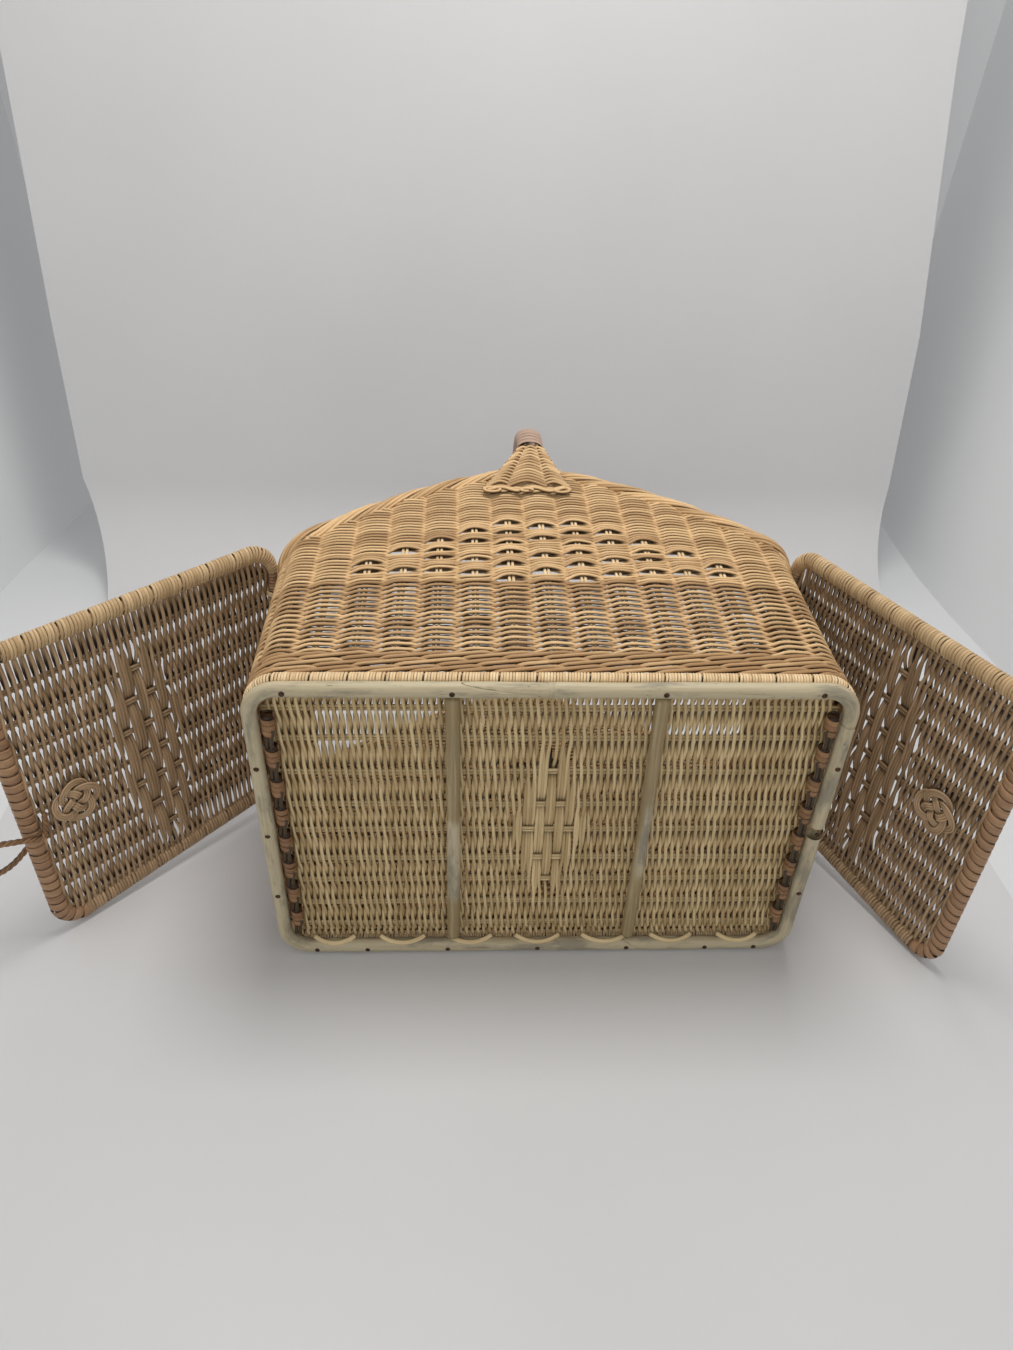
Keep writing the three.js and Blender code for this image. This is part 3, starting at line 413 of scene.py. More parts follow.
@dataclass
class Wall:
    """Shape of the woven wall: a rounded rectangle in plan with gabled long sides.

    A place on it is the distance round the wall from the middle of the front, and the height.

    Args:
        length: Length of the foot.
        width: Width of the foot.
        corner: Corner radius of the foot.
        pole: Thickness of the foot pole that the wall stands on.
        binding: Height of the wound band on the foot pole.
        waling: Height of the rounds of waling.
        thickness: Thickness of the wall.
        inset: Distance of its outer face from the foot's edge.
        end_height: Height of the rim at both ends.
        apex_height: Height of the rim in the middle of the long sides.
        arch: How far the gables' slopes bulge.
        flare: How far the end walls lean out at the rim.
        lean: How far the ends of the long walls lean in at the rim.
        belly: How far the middle of the long walls bulges.
        rim_corner: Corner radius at the rim.
        border: Thickness of the rolled border.
        stakes: Pairs of stakes round the wall.
    """

    length: float = 380.0
    width: float = 250.0
    corner: float = 24.0
    pole: float = 10.5
    binding: float = 7.0
    waling: float = 21.6
    thickness: float = 5.0
    inset: float = 2.0
    end_height: float = 192.0
    apex_height: float = 312.0
    arch: float = 0.11
    flare: float = 5.5
    lean: float = 5.5
    belly: float = 2.5
    rim_corner: float = 26.0
    border: float = 14.5
    stakes: int = 48

    def __post_init__(self) -> None:
        """Set out the distances round the wall and the heights of its bands."""
        self.binding_top = self.pole + self.binding + 0.6
        self.waling_top = self.binding_top + self.waling
        long_side = 2 * (self.length / 2 - self.inset - self.corner + 2)
        end_side = 2 * (self.width / 2 - self.inset - self.corner)
        corner = math.pi / 2 * self.corner
        spans = [long_side / 2, corner, end_side, corner, long_side, corner, end_side, corner, long_side / 2]
        self.marks = np.concatenate([[0.0], np.cumsum(spans)])
        self.share_x = np.array([0, 1, 1, 1, 1, -1, -1, -1, -1, 0], float)
        self.share_y = np.array([-1, -1, -1, 1, 1, 1, 1, -1, -1, -1], float)
        self.angles = np.array([-90, -90, 0, 0, 90, 90, 180, 180, 270, 270], float)
        self.round = float(self.marks[-1])
        self.pitch = self.round / self.stakes

    def half_length(self, z: np.ndarray | float) -> np.ndarray | float:
        """Half of the outer length at a height."""
        return self.length / 2 - self.inset + self.flare * (z / self.end_height)

    def half_width(self, z: np.ndarray | float, share: np.ndarray | float) -> np.ndarray | float:
        """Half of the outer width.

        Args:
            z: Heights.
            share: Shares of the half length.

        Returns:
            Half widths.
        """
        lean = self.lean * (z / self.end_height) * share * share
        belly = self.belly * np.sin(np.pi * np.minimum(1, z / self.apex_height)) * (1 - share * share)
        return self.width / 2 - self.inset - lean + belly

    def point(self, t: np.ndarray, z: np.ndarray | float, offset: np.ndarray | float) -> np.ndarray:
        """Points of the wall.

        Args:
            t: Distances round the wall.
            z: Heights.
            offset: Distances out of the outer face.

        Returns:
            Array of points.
        """
        t = np.mod(t, self.round)
        sx = np.interp(t, self.marks, self.share_x)
        sy = np.interp(t, self.marks, self.share_y)
        angle = np.radians(np.interp(t, self.marks, self.angles))
        z = np.broadcast_to(z, t.shape).astype(float)
        share = np.minimum(1, z / self.end_height)
        radius = (1 - share) * (self.corner - self.inset) + share * self.rim_corner
        reach = radius + offset
        x = sx * (self.half_length(z) - radius) + reach * np.cos(angle)
        y = sy * (self.half_width(z, sx) - radius) + reach * np.sin(angle)
        return np.stack([x, y, z], axis=-1)

    def outward(self, t: np.ndarray) -> np.ndarray:
        """Level directions out of the wall at distances round it."""
        angle = np.radians(np.interp(np.mod(t, self.round), self.marks, self.angles))
        return np.stack([np.cos(angle), np.sin(angle), np.zeros_like(angle)], axis=-1)

    def rim_height(self, x: np.ndarray | float) -> np.ndarray | float:
        """Height of the rim's top at places along the basket."""
        share = 1 - np.minimum(1, np.abs(x) / (self.half_length(self.end_height) - self.thickness / 2))
        return self.end_height + (self.apex_height - self.end_height) * (share + self.arch * np.sin(np.pi * share))

    def border_height(self, x: np.ndarray | float) -> np.ndarray | float:
        """Height of the border's middle line."""
        return self.rim_height(x) - self.border / 2

    def weave_top(self, t: np.ndarray) -> np.ndarray:
        """Height where the weave ends, inside the border, at distances round the wall."""
        x = self.point(t, self.end_height, 0.0)[..., 0]
        return self.border_height(x) - 2.0


class Finish(Enum):
    """Named finishes of the basket's materials."""

    POLE = "rattan_pole"
    NAIL = "iron_nail"
    STRAW = "straw_reed"
    COIL = "brown_coil"
    WALL = "wall_reed"
    GOLDEN = "golden_reed"
    HANDLE = "handle_strip"
    DARK = "dark_strip"
    # Paler finish of the upper side rolls of the lids, which are the same reed as the lower ones: painted light from
    # above.
    PALE = "pale_strip"
    LID = "lid_reed"
    CORD = "twisted_cord"


class Group:
    """A shader node group that other materials share."""

    def __init__(self, name: str) -> None:
        """Start an empty group.

        Args:
            name: Name of the group.
        """
        self.tree = bpy.data.node_groups.new(name, "ShaderNodeTree")
        self.inside = self.tree.nodes.new("NodeGroupInput")
        self.outside = self.tree.nodes.new("NodeGroupOutput")

    def value_in(self, name: str, default: float | tuple, kind: str = "NodeSocketFloat") -> bpy.types.NodeSocket:
        """Add an input with a default.

        Args:
            name: Name of the input.
            default: Its value where a material gives none.
            kind: Type of its socket.

        Returns:
            The input as a socket inside the group.
        """
        socket = self.tree.interface.new_socket(name=name, in_out="INPUT", socket_type=kind)
        socket.default_value = default
        return self.inside.outputs[name]

    def colour_in(self, name: str, default: Colour) -> bpy.types.NodeSocket:
        """Add a colour input with a default and return it inside the group."""
        return self.value_in(name, (*default, 1.0), "NodeSocketColor")

    def out(self, name: str, source: bpy.types.NodeSocket, kind: str = "NodeSocketFloat") -> None:
        """Add an output fed by a socket."""
        self.tree.interface.new_socket(name=name, in_out="OUTPUT", socket_type=kind)
        self.tree.links.new(source, self.outside.inputs[name])

    def node(self, kind: str, **settings: object) -> bpy.types.Node:
        """Add a node.

        Args:
            kind: Type of the node.
            settings: Properties to set on it.

        Returns:
            The node.
        """
        made = self.tree.nodes.new(kind)
        for key, value in settings.items():
            setattr(made, key, value)
        return made

    def link(self, source: bpy.types.NodeSocket, target: bpy.types.NodeSocket) -> None:
        """Join two sockets."""
        self.tree.links.new(source, target)

    def noise(
        self, place: bpy.types.NodeSocket, stretch: tuple[float, float, float], detail: float, rough: float = 0.6
    ) -> bpy.types.NodeSocket:
        """Noise over stretched coordinates.

        Args:
            place: Coordinates.
            stretch: Scale along each axis.
            detail: Number of finer octaves.
            rough: Weight of the finer octaves.

        Returns:
            Value from 0 to 1.
        """
        scaled = self.node("ShaderNodeVectorMath", operation="MULTIPLY")
        self.link(place, scaled.inputs[0])
        scaled.inputs[1].default_value = stretch
        noise = self.node("ShaderNodeTexNoise")
        noise.inputs["Scale"].default_value = 1.0
        noise.inputs["Detail"].default_value = detail
        noise.inputs["Roughness"].default_value = rough
        self.link(scaled.outputs[0], noise.inputs["Vector"])
        return noise.outputs["Fac"]

    def ramp(self, value: bpy.types.NodeSocket, low: float, high: float) -> bpy.types.NodeSocket:
        """Value spread from a range to 0..1 and held there.

        Args:
            value: The value.
            low: Low end of the range.
            high: High end of the range.

        Returns:
            The eased result.
        """
        node = self.node("ShaderNodeMapRange", interpolation_type="SMOOTHSTEP")
        node.inputs["From Min"].default_value = low
        node.inputs["From Max"].default_value = high
        self.link(value, node.inputs["Value"])
        return node.outputs["Result"]

    def maths(self, operation: str, first: object, second: object = None) -> bpy.types.NodeSocket:
        """Maths over sockets or numbers.

        Args:
            operation: Name of the operation.
            first: First socket or number.
            second: Second socket or number.

        Returns:
            The result.
        """
        node = self.node("ShaderNodeMath", operation=operation)
        for i, value in enumerate((first, second)):
            if isinstance(value, bpy.types.NodeSocket):
                self.link(value, node.inputs[i])
            elif value is not None:
                node.inputs[i].default_value = value
        return node.outputs[0]

    def mix(
        self, share: bpy.types.NodeSocket, first: bpy.types.NodeSocket, second: bpy.types.NodeSocket
    ) -> bpy.types.NodeSocket:
        """Mix of two colours.

        Args:
            share: Share of the second colour.
            first: First colour.
            second: Second colour.

        Returns:
            The mixed colour.
        """
        node = self.node("ShaderNodeMix", data_type="RGBA")
        self.link(share, node.inputs[0])
        self.link(first, node.inputs[6])
        self.link(second, node.inputs[7])
        return node.outputs[2]


def reed_group() -> bpy.types.NodeTree:
    """Group for reed: streaks along the fibre, a tint for each reed, darker blotches, and painted shade deep in the
    weave.

    Returns:
        The node group, with Color, Roughness and Height outputs.
    """
    g = Group("Reed fibre")
    pale = g.colour_in("Pale", linear("d9b27c"))
    deep = g.colour_in("Deep", linear("8a5b31"))
    stain = g.colour_in("Stain", linear("6f5234"))
    spread = g.value_in("Spread", 0.6)
    stains = g.value_in("Stains", 0.3)
    rough = g.value_in("Roughness", 0.5)
    place = g.node("ShaderNodeAttribute", attribute_name="strand_place").outputs["Vector"]
    tint = g.node("ShaderNodeAttribute", attribute_name="strand_tint").outputs["Fac"]
    # Painted shade: a dark colour laid over points deep in the weave and on far-side reeds, where shadow falls.
    painted_shade_depth = g.node("ShaderNodeAttribute", attribute_name="strand_painted_shade").outputs["Fac"]
    painted_shade_colour, painted_shade_amount = g.colour_in("Painted Shade Colour", linear("2e2116")), g.value_in("Painted Shade Amount", 0.95)
    ground = g.node("ShaderNodeTexCoord").outputs["Object"]
    streak = g.noise(place, (1500.0, 1500.0, 22.0), 3.0, 0.65)
    patch = g.noise(place, (160.0, 160.0, 24.0), 2.0)
    cloud = g.noise(ground, (26.0, 26.0, 26.0), 3.0)
    share = g.maths("MULTIPLY", tint, spread)
    share = g.maths("ADD", share, g.maths("MULTIPLY", g.ramp(streak, 0.3, 0.7), 0.32))
    share = g.maths("ADD", share, g.maths("MULTIPLY", g.ramp(patch, 0.3, 0.7), 0.22))
    colour = g.mix(g.ramp(share, 0.0, 1.1), deep, pale)
    speck = g.ramp(g.noise(place, (420.0, 420.0, 90.0), 2.0), 0.62, 0.74)
    grime = g.maths("MULTIPLY", g.maths("ADD", g.ramp(cloud, 0.45, 0.8), speck), stains)
    colour = g.mix(g.ramp(grime, 0.0, 1.0), colour, stain)
    # Mix in the painted shade.
    colour = g.mix(g.maths("MULTIPLY", g.ramp(painted_shade_depth, 0.05, 0.9), painted_shade_amount), colour, painted_shade_colour)
    g.out("Color", colour, "NodeSocketColor")
    gloss = g.maths("ADD", rough, g.maths("MULTIPLY", g.maths("SUBTRACT", streak, 0.5), 0.35))
    g.out("Roughness", gloss)
    ridge = g.noise(place, (2300.0, 2300.0, 14.0), 1.0, 0.4)
    g.out("Height", g.maths("ADD", ridge, g.maths("MULTIPLY", patch, 0.5)))
    return g.tree


def pole_group() -> bpy.types.NodeTree:
    """Group for peeled rattan pole: tan where whole, pale and grey where whittled, pits and cracks along the fibre.

    Returns:
        The node group, with Color, Roughness and Height outputs.
    """
    g = Group("Peeled pole")
    pale = g.colour_in("Pale", linear("cfc3a6"))
    deep = g.colour_in("Deep", linear("a58f66"))
    scuff = g.colour_in("Scuff", linear("8d8676"))
    pit = g.colour_in("Pit", linear("44392b"))
    rough = g.value_in("Roughness", 0.55)
    place = g.node("ShaderNodeAttribute", attribute_name="strand_place").outputs["Vector"]
    tint = g.node("ShaderNodeAttribute", attribute_name="strand_tint").outputs["Fac"]
    streak = g.noise(place, (420.0, 420.0, 12.0), 4.0, 0.65)
    cloud = g.noise(place, (90.0, 90.0, 22.0), 4.0, 0.65)
    fleck = g.noise(place, (700.0, 700.0, 200.0), 3.0, 0.6)
    crack = g.noise(place, (900.0, 900.0, 16.0), 2.0, 0.5)
    share = g.maths("ADD", g.maths("MULTIPLY", g.ramp(streak, 0.34, 0.66), 0.45), g.maths("SUBTRACT", tint, 0.25))
    colour = g.mix(g.ramp(share, 0.0, 0.8), deep, pale)
    scuffed = g.maths("MULTIPLY", g.ramp(cloud, 0.44, 0.64), g.maths("MINIMUM", tint, 0.85))
    colour = g.mix(scuffed, colour, scuff)
    marks = g.maths("MAXIMUM", g.ramp(fleck, 0.66, 0.76), g.ramp(crack, 0.72, 0.8))
    marks = g.maths("MULTIPLY", marks, g.maths("ADD", tint, 0.25))
    colour = g.mix(g.maths("MULTIPLY", marks, 0.7), colour, pit)
    g.out("Color", colour, "NodeSocketColor")
    g.out("Roughness", g.maths("ADD", rough, g.maths("MULTIPLY", scuffed, 0.25)))
    g.out("Height", g.maths("SUBTRACT", g.maths("MULTIPLY", streak, 0.6), marks))
    return g.tree


@dataclass(frozen=True)
class ReedLook:
    """Finish of reed or strip.

    Args:
        finish: Name of the record's slot.
        pale: Lightest colour.
        deep: Darkest colour of the sound fibre.
        stain: Colour of the grime.
        spread: How far single reeds differ.
        stains: Amount of grime.
        roughness: Middle roughness.
        bump: Height of the fibre's relief, in millimetres.
    """

    finish: Finish
    pale: Colour
    deep: Colour
    stain: Colour
    spread: float = 0.6
    stains: float = 0.3
    roughness: float = 0.5
    bump: float = 0.12

    def build(self, group: bpy.types.NodeTree) -> bpy.types.Material:
        """Make the material from the shared group.

        Args:
            group: The shared node group.

        Returns:
            The material.
        """
        values = {"Pale": (*self.pale, 1), "Deep": (*self.deep, 1), "Stain": (*self.stain, 1),
                  "Spread": self.spread, "Stains": self.stains, "Roughness": self.roughness}
        return grouped_material(self.finish.value, group, values, self.bump)


@dataclass(frozen=True)
class PoleLook:
    """Finish of a peeled pole.

    Args:
        finish: Name of the record's slot.
        pale: Lightest colour.
        deep: Colour of the streaks.
        scuff: Colour of the worn, dirty patches.
        roughness: Middle roughness.
        bump: Height of the relief, in millimetres.
    """

    finish: Finish
    pale: Colour
    deep: Colour
    scuff: Colour
    roughness: float = 0.5
    bump: float = 0.3

    def build(self, group: bpy.types.NodeTree) -> bpy.types.Material:
        """Make the material from the shared group.

        Args:
            group: The shared node group.

        Returns:
            The material.
        """
        values = {"Pale": (*self.pale, 1), "Deep": (*self.deep, 1), "Scuff": (*self.scuff, 1),
                  "Roughness": self.roughness}
        return grouped_material(self.finish.value, group, values, self.bump)


def principled(tree: bpy.types.NodeTree) -> bpy.types.Node:
    """Principled shader of a material's node tree."""
    return next(node for node in tree.nodes if node.type == "BSDF_PRINCIPLED")


def grouped_material(
    name: str, group: bpy.types.NodeTree, values: dict[str, object], bump: float
) -> bpy.types.Material:
    """Material with one principled shader fed by a shared group.

    Args:
        name: Name of the material.
        group: Shared node group with Color, Roughness and Height outputs.
        values: Values of the group's inputs.
        bump: Height of the relief, in millimetres.

    Returns:
        The material.
    """
    material = bpy.data.materials.new(name)
    material.use_nodes = True
    tree = material.node_tree
    shader = principled(tree)
    shared = tree.nodes.new("ShaderNodeGroup")
    shared.node_tree = group
    for key, value in values.items():
        shared.inputs[key].default_value = value
    relief = tree.nodes.new("ShaderNodeBump")
    relief.inputs["Strength"].default_value = 1.0
    relief.inputs["Distance"].default_value = bump * MM
    tree.links.new(shared.outputs["Color"], shader.inputs["Base Color"])
    tree.links.new(shared.outputs["Roughness"], shader.inputs["Roughness"])
    tree.links.new(shared.outputs["Height"], relief.inputs["Height"])
    tree.links.new(relief.outputs["Normal"], shader.inputs["Normal"])
    shader.inputs["Specular IOR Level"].default_value = 0.35
    return material


@dataclass(frozen=True)
class NailLook:
    """Finish of nail heads: dark iron, rusty in patches.

    Args:
        finish: Name of the record's slot.
        iron: Colour of the iron.
        rust: Colour of the rust.
        bump: Height of the relief, in millimetres.
    """

    finish: Finish
    iron: Colour
    rust: Colour
    bump: float = 0.1

    def build(self) -> bpy.types.Material:
        """Make the material.

        Returns:
            The material.
        """
        g = Group("Nail iron")
        ground = g.node("ShaderNodeTexCoord").outputs["Object"]
        rusty = g.ramp(g.noise(ground, (900.0, 900.0, 900.0), 3.0), 0.42, 0.6)
        iron = g.colour_in("Iron", self.iron)
        rust = g.colour_in("Rust", self.rust)
        g.out("Color", g.mix(rusty, iron, rust), "NodeSocketColor")
        g.out("Roughness", g.maths("ADD", g.maths("MULTIPLY", rusty, 0.35), 0.4))
        g.out("Height", rusty)
        material = grouped_material(self.finish.value, g.tree, {}, self.bump)
        principled(material.node_tree).inputs["Metallic"].default_value = 0.6
        return material


@dataclass(frozen=True)
class SheetLook:
    """Paper or cloth of the studio, with slow, faint clouds.

    Args:
        colour: Its colour.
        roughness: Its roughness.
        glow: Painted light: faint emission that stands in for light that comes through it.
        bump: Height of the relief, in millimetres.
    """

    colour: Colour
    roughness: float
    glow: float = 0.0
    bump: float = 0.05

    def build(self, name: str) -> bpy.types.Material:
        """Make the material.

        Args:
            name: Name of the material.

        Returns:
            The material.
        """
        g = Group(f"{name} clouds")
        ground = g.node("ShaderNodeTexCoord").outputs["Object"]
        cloud = g.ramp(g.noise(ground, (2.2, 2.2, 2.2), 2.0), 0.3, 0.7)
        light = g.colour_in("Light", self.colour)
        shade = g.colour_in("Shade", tuple(c * 0.95 for c in self.colour))
        g.out("Color", g.mix(cloud, light, shade), "NodeSocketColor")
        g.out("Roughness", g.maths("ADD", g.maths("MULTIPLY", cloud, 0.05), self.roughness))
        g.out("Height", g.noise(ground, (60.0, 60.0, 60.0), 2.0))
        material = grouped_material(name, g.tree, {}, self.bump)
        shader = principled(material.node_tree)
        # Painted light: emission standing in for light that shines through the sheet.
        shader.inputs["Emission Color"].default_value = (*self.colour, 1.0)
        shader.inputs["Emission Strength"].default_value = self.glow
        self.hide_back(material.node_tree, shader)
        return material

    @staticmethod
    def hide_back(tree: bpy.types.NodeTree, shader: bpy.types.Node) -> None:
        """Let the camera look through the back of a sheet that stands in front of the basket.

        Args:
            tree: Node tree of the sheet's material.
            shader: Its shader.
        """
        side = tree.nodes.new("ShaderNodeNewGeometry").outputs["Backfacing"]
        ray = tree.nodes.new("ShaderNodeLightPath").outputs["Is Camera Ray"]
        both, mixed = tree.nodes.new("ShaderNodeMath"), tree.nodes.new("ShaderNodeMixShader")
        both.operation = "MULTIPLY"
        tree.links.new(side, both.inputs[0])
        tree.links.new(ray, both.inputs[1])
        tree.links.new(both.outputs[0], mixed.inputs[0])
        tree.links.new(shader.outputs[0], mixed.inputs[1])
        tree.links.new(tree.nodes.new("ShaderNodeBsdfTransparent").outputs[0], mixed.inputs[2])
        output = next(node for node in tree.nodes if node.type == "OUTPUT_MATERIAL")
        tree.links.new(mixed.outputs[0], output.inputs["Surface"])


class Palette:
    """All materials of the basket, made once."""

    def __init__(self) -> None:
        """Make the shared groups and every material."""
        reed, pole = reed_group(), pole_group()
        brown = linear("5a4128")
        looks = [
            ReedLook(Finish.WALL, linear("e6c290"), linear("a17c53"), brown, 0.6, 0.15),
            ReedLook(Finish.STRAW, linear("e4cd9f"), linear("ab9063"), linear("665742"), 0.5, 0.22),
            ReedLook(Finish.GOLDEN, linear("f2d9b0"), linear("caa87a"), brown, 0.5, 0.12),
            ReedLook(Finish.COIL, linear("a07a54"), linear("6f5038"), brown, 0.5, 0.2),
            ReedLook(Finish.HANDLE, linear("cfb09c"), linear("a68a78"), linear("806a5b"), 0.3, 0.2, 0.42),
            ReedLook(Finish.DARK, linear("b8926e"), linear("86654a"), brown, 0.5, 0.2, 0.42),
            # Upper side rolls of the lids: paler as painted light.
            ReedLook(Finish.PALE, linear("dcc096"), linear("aa8a62"), brown, 0.5, 0.15),
            ReedLook(Finish.LID, linear("c2a380"), linear("8a7052"), linear("4f3d2e"), 0.5, 0.2),
            ReedLook(Finish.CORD, linear("a07a54"), linear("6f5038"), brown, 0.5, 0.2),
        ]
        self.materials = {look.finish: look.build(reed) for look in looks}
        whittled = PoleLook(Finish.POLE, linear("bdb092"), linear("94805a"), linear("857e6f"))
        self.materials[Finish.POLE] = whittled.build(pole)
        self.materials[Finish.NAIL] = NailLook(Finish.NAIL, linear("2f2a27"), linear("6a4630")).build()

    def __getitem__(self, finish: Finish) -> bpy.types.Material:
        """Material of a finish."""
        return self.materials[finish]


@dataclass
class Assembly:
    """Something that puts pieces in the scene.

    Args:
        palette: Materials of the basket.
        body: Moving body that the pieces ride on.
        space: Space that the pieces are built in.
    """

    palette: Palette
    body: Body
    space: Space

    def finish_piece(
        self, piece: bpy.types.Object, finish: Finish, nodes: tuple[str, ...] | list[str]
    ) -> bpy.types.Object:
        """Tie a finished piece to its body and hide the CAD nodes that it stands for.

        Args:
            piece: The new object.
            finish: Its material slot; not used.
            nodes: CAD nodes that it stands for.

        Returns:
            The same object.
        """
        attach(piece, self.body.value)
        if nodes:
            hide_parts(*nodes)
        LOG.info("%s: %d faces", piece.name, len(piece.data.polygons))
        return piece

    def strands_piece(
        self, strands: Strands, name: str, finish: Finish, nodes: tuple[str, ...] | list[str] = ()
    ) -> bpy.types.Object:
        """Make and tie a piece from strands."""
        return self.finish_piece(strands.build(name, self.space, self.palette[finish]), finish, nodes)


@dataclass
class TwinedSheet:
    """Pairs of weavers that twist between stakes, with places where both pass on the same side.

    Args:
        stakes: Places of the stakes along the weavers.
        swing: Distance of a weaver from the sheet's middle at a stake.
        twist: Distance of a weaver from its row's middle where the pair crosses.
        samples: Points from one stake to the next.
    """

    stakes: np.ndarray
    swing: float
    twist: float
    samples: int = 8

    def pair(
        self, row: float, pitch: float, lozenge: "Lozenge", numbers: np.ndarray, held: bool
    ) -> Iterator[tuple[np.ndarray, np.ndarray, np.ndarray]]:
        """Courses of the two weavers of a row.

        Args:
            row: Place of the row along the stakes.
            pitch: Distance between two rows.
            lozenge: Bundles in the middle of the sheet.
            numbers: Number of each stake between the ends, counted from the middle one.
            held: Whether the weavers end in the sheet's middle.

        Yields:
            Places along the weaver, across the row and out of the sheet.
        """
        count = len(self.stakes)
        for j in (0, 1):
            signs = np.array([(-1.0) ** (s + j) for s in range(count)])
            if held:
                signs[[0, -1]] = 0.0
            beside, bundled = np.zeros(count), np.zeros(count, bool)
            for s, number in enumerate(numbers, start=1):
                show, place = lozenge.pass_stake(row + (j - 0.5) * pitch / 2, int(number))
                if show:
                    signs[s], beside[s], bundled[s] = show, place - row, True
            yield self.weaver(signs, beside, bundled)

    def weaver(
        self, signs: np.ndarray, beside: np.ndarray, bundled: np.ndarray
    ) -> tuple[np.ndarray, np.ndarray, np.ndarray]:
        """Course of one weaver.

        Args:
            signs: Side on which it passes each stake, from -1 to 1.
            beside: Its distance from the row's middle at each stake.
            bundled: Whether it passes each stake in a bundle, and so doesn't twist round its partner.

        Returns:
            Places along the weaver, across the row and out of the sheet.
        """
        count = len(self.stakes)
        u = np.arange((count - 1) * self.samples + 1) / self.samples
        along = np.interp(u, np.arange(count), self.stakes)
        left = np.minimum(u.astype(int), count - 2)
        share = u - left
        a, b = signs[left], signs[left + 1]
        grouped = bundled[left] | bundled[left + 1]
        late = np.where(a > b, share**2.1, 1 - (1 - share) ** 2.1)
        blend = 0.5 - 0.5 * np.cos(np.pi * np.where(grouped, late, share))
        out = self.swing * (a + (b - a) * blend)
        lift = ease((np.sin(np.pi * share) - 0.2) / 0.7) * ~grouped
        across = beside[left] + (beside[left + 1] - beside[left]) * blend + lift * (a - b) / 2 * self.twist
        return along, across, out


@dataclass(frozen=True)
class Lozenge:
    """Bundles of weavers that pass over and behind the stakes by turns, so that each stake shows in eyes.

    Args:
        middle: Place of the lozenge's middle along the stakes.
        pitch: Distance between two eyes of one stake.
        counts: Number of eyes on the middle stake and on each stake beside it.
    """

    middle: float
    pitch: float
    counts: tuple[int, ...]

    def pass_stake(self, place: float, stake: int) -> tuple[float, float]:
        """How a weaver passes a stake.

        Args:
            place: Even place of the weaver along the stake.
            stake: Stake counted from the middle one.

        Returns:
            1 over the stake, -1 behind it or 0 where the pair twists as elsewhere, and its place in its bundle.
        """
        count = self.counts[abs(stake)] if abs(stake) < len(self.counts) else 0
        column = round((place - self.middle) / (self.pitch / 2))
        if not count or abs(column) > count:
            return 0.0, place
        bundle = self.middle + column * self.pitch / 2
        behind = (column - count + 1) % 2 == 0
        return (-1.0 if behind else 1.0), bundle + (place - bundle) * 0.92


@dataclass(frozen=True)
class CrossPole:
    """Pole across the foot, whittled and pale along one side of a stretch.

    Args:
        side: End of the basket that it is nearer to.
        place: Its place along the basket.
        seed: Seed of its unevenness.
        start: Where the whittled stretch starts.
        end: Where it ends.
        turn: Angle of the whittled side from straight down.
    """

    side: Side
    place: float
    seed: int
    start: float
    end: float
    turn: float


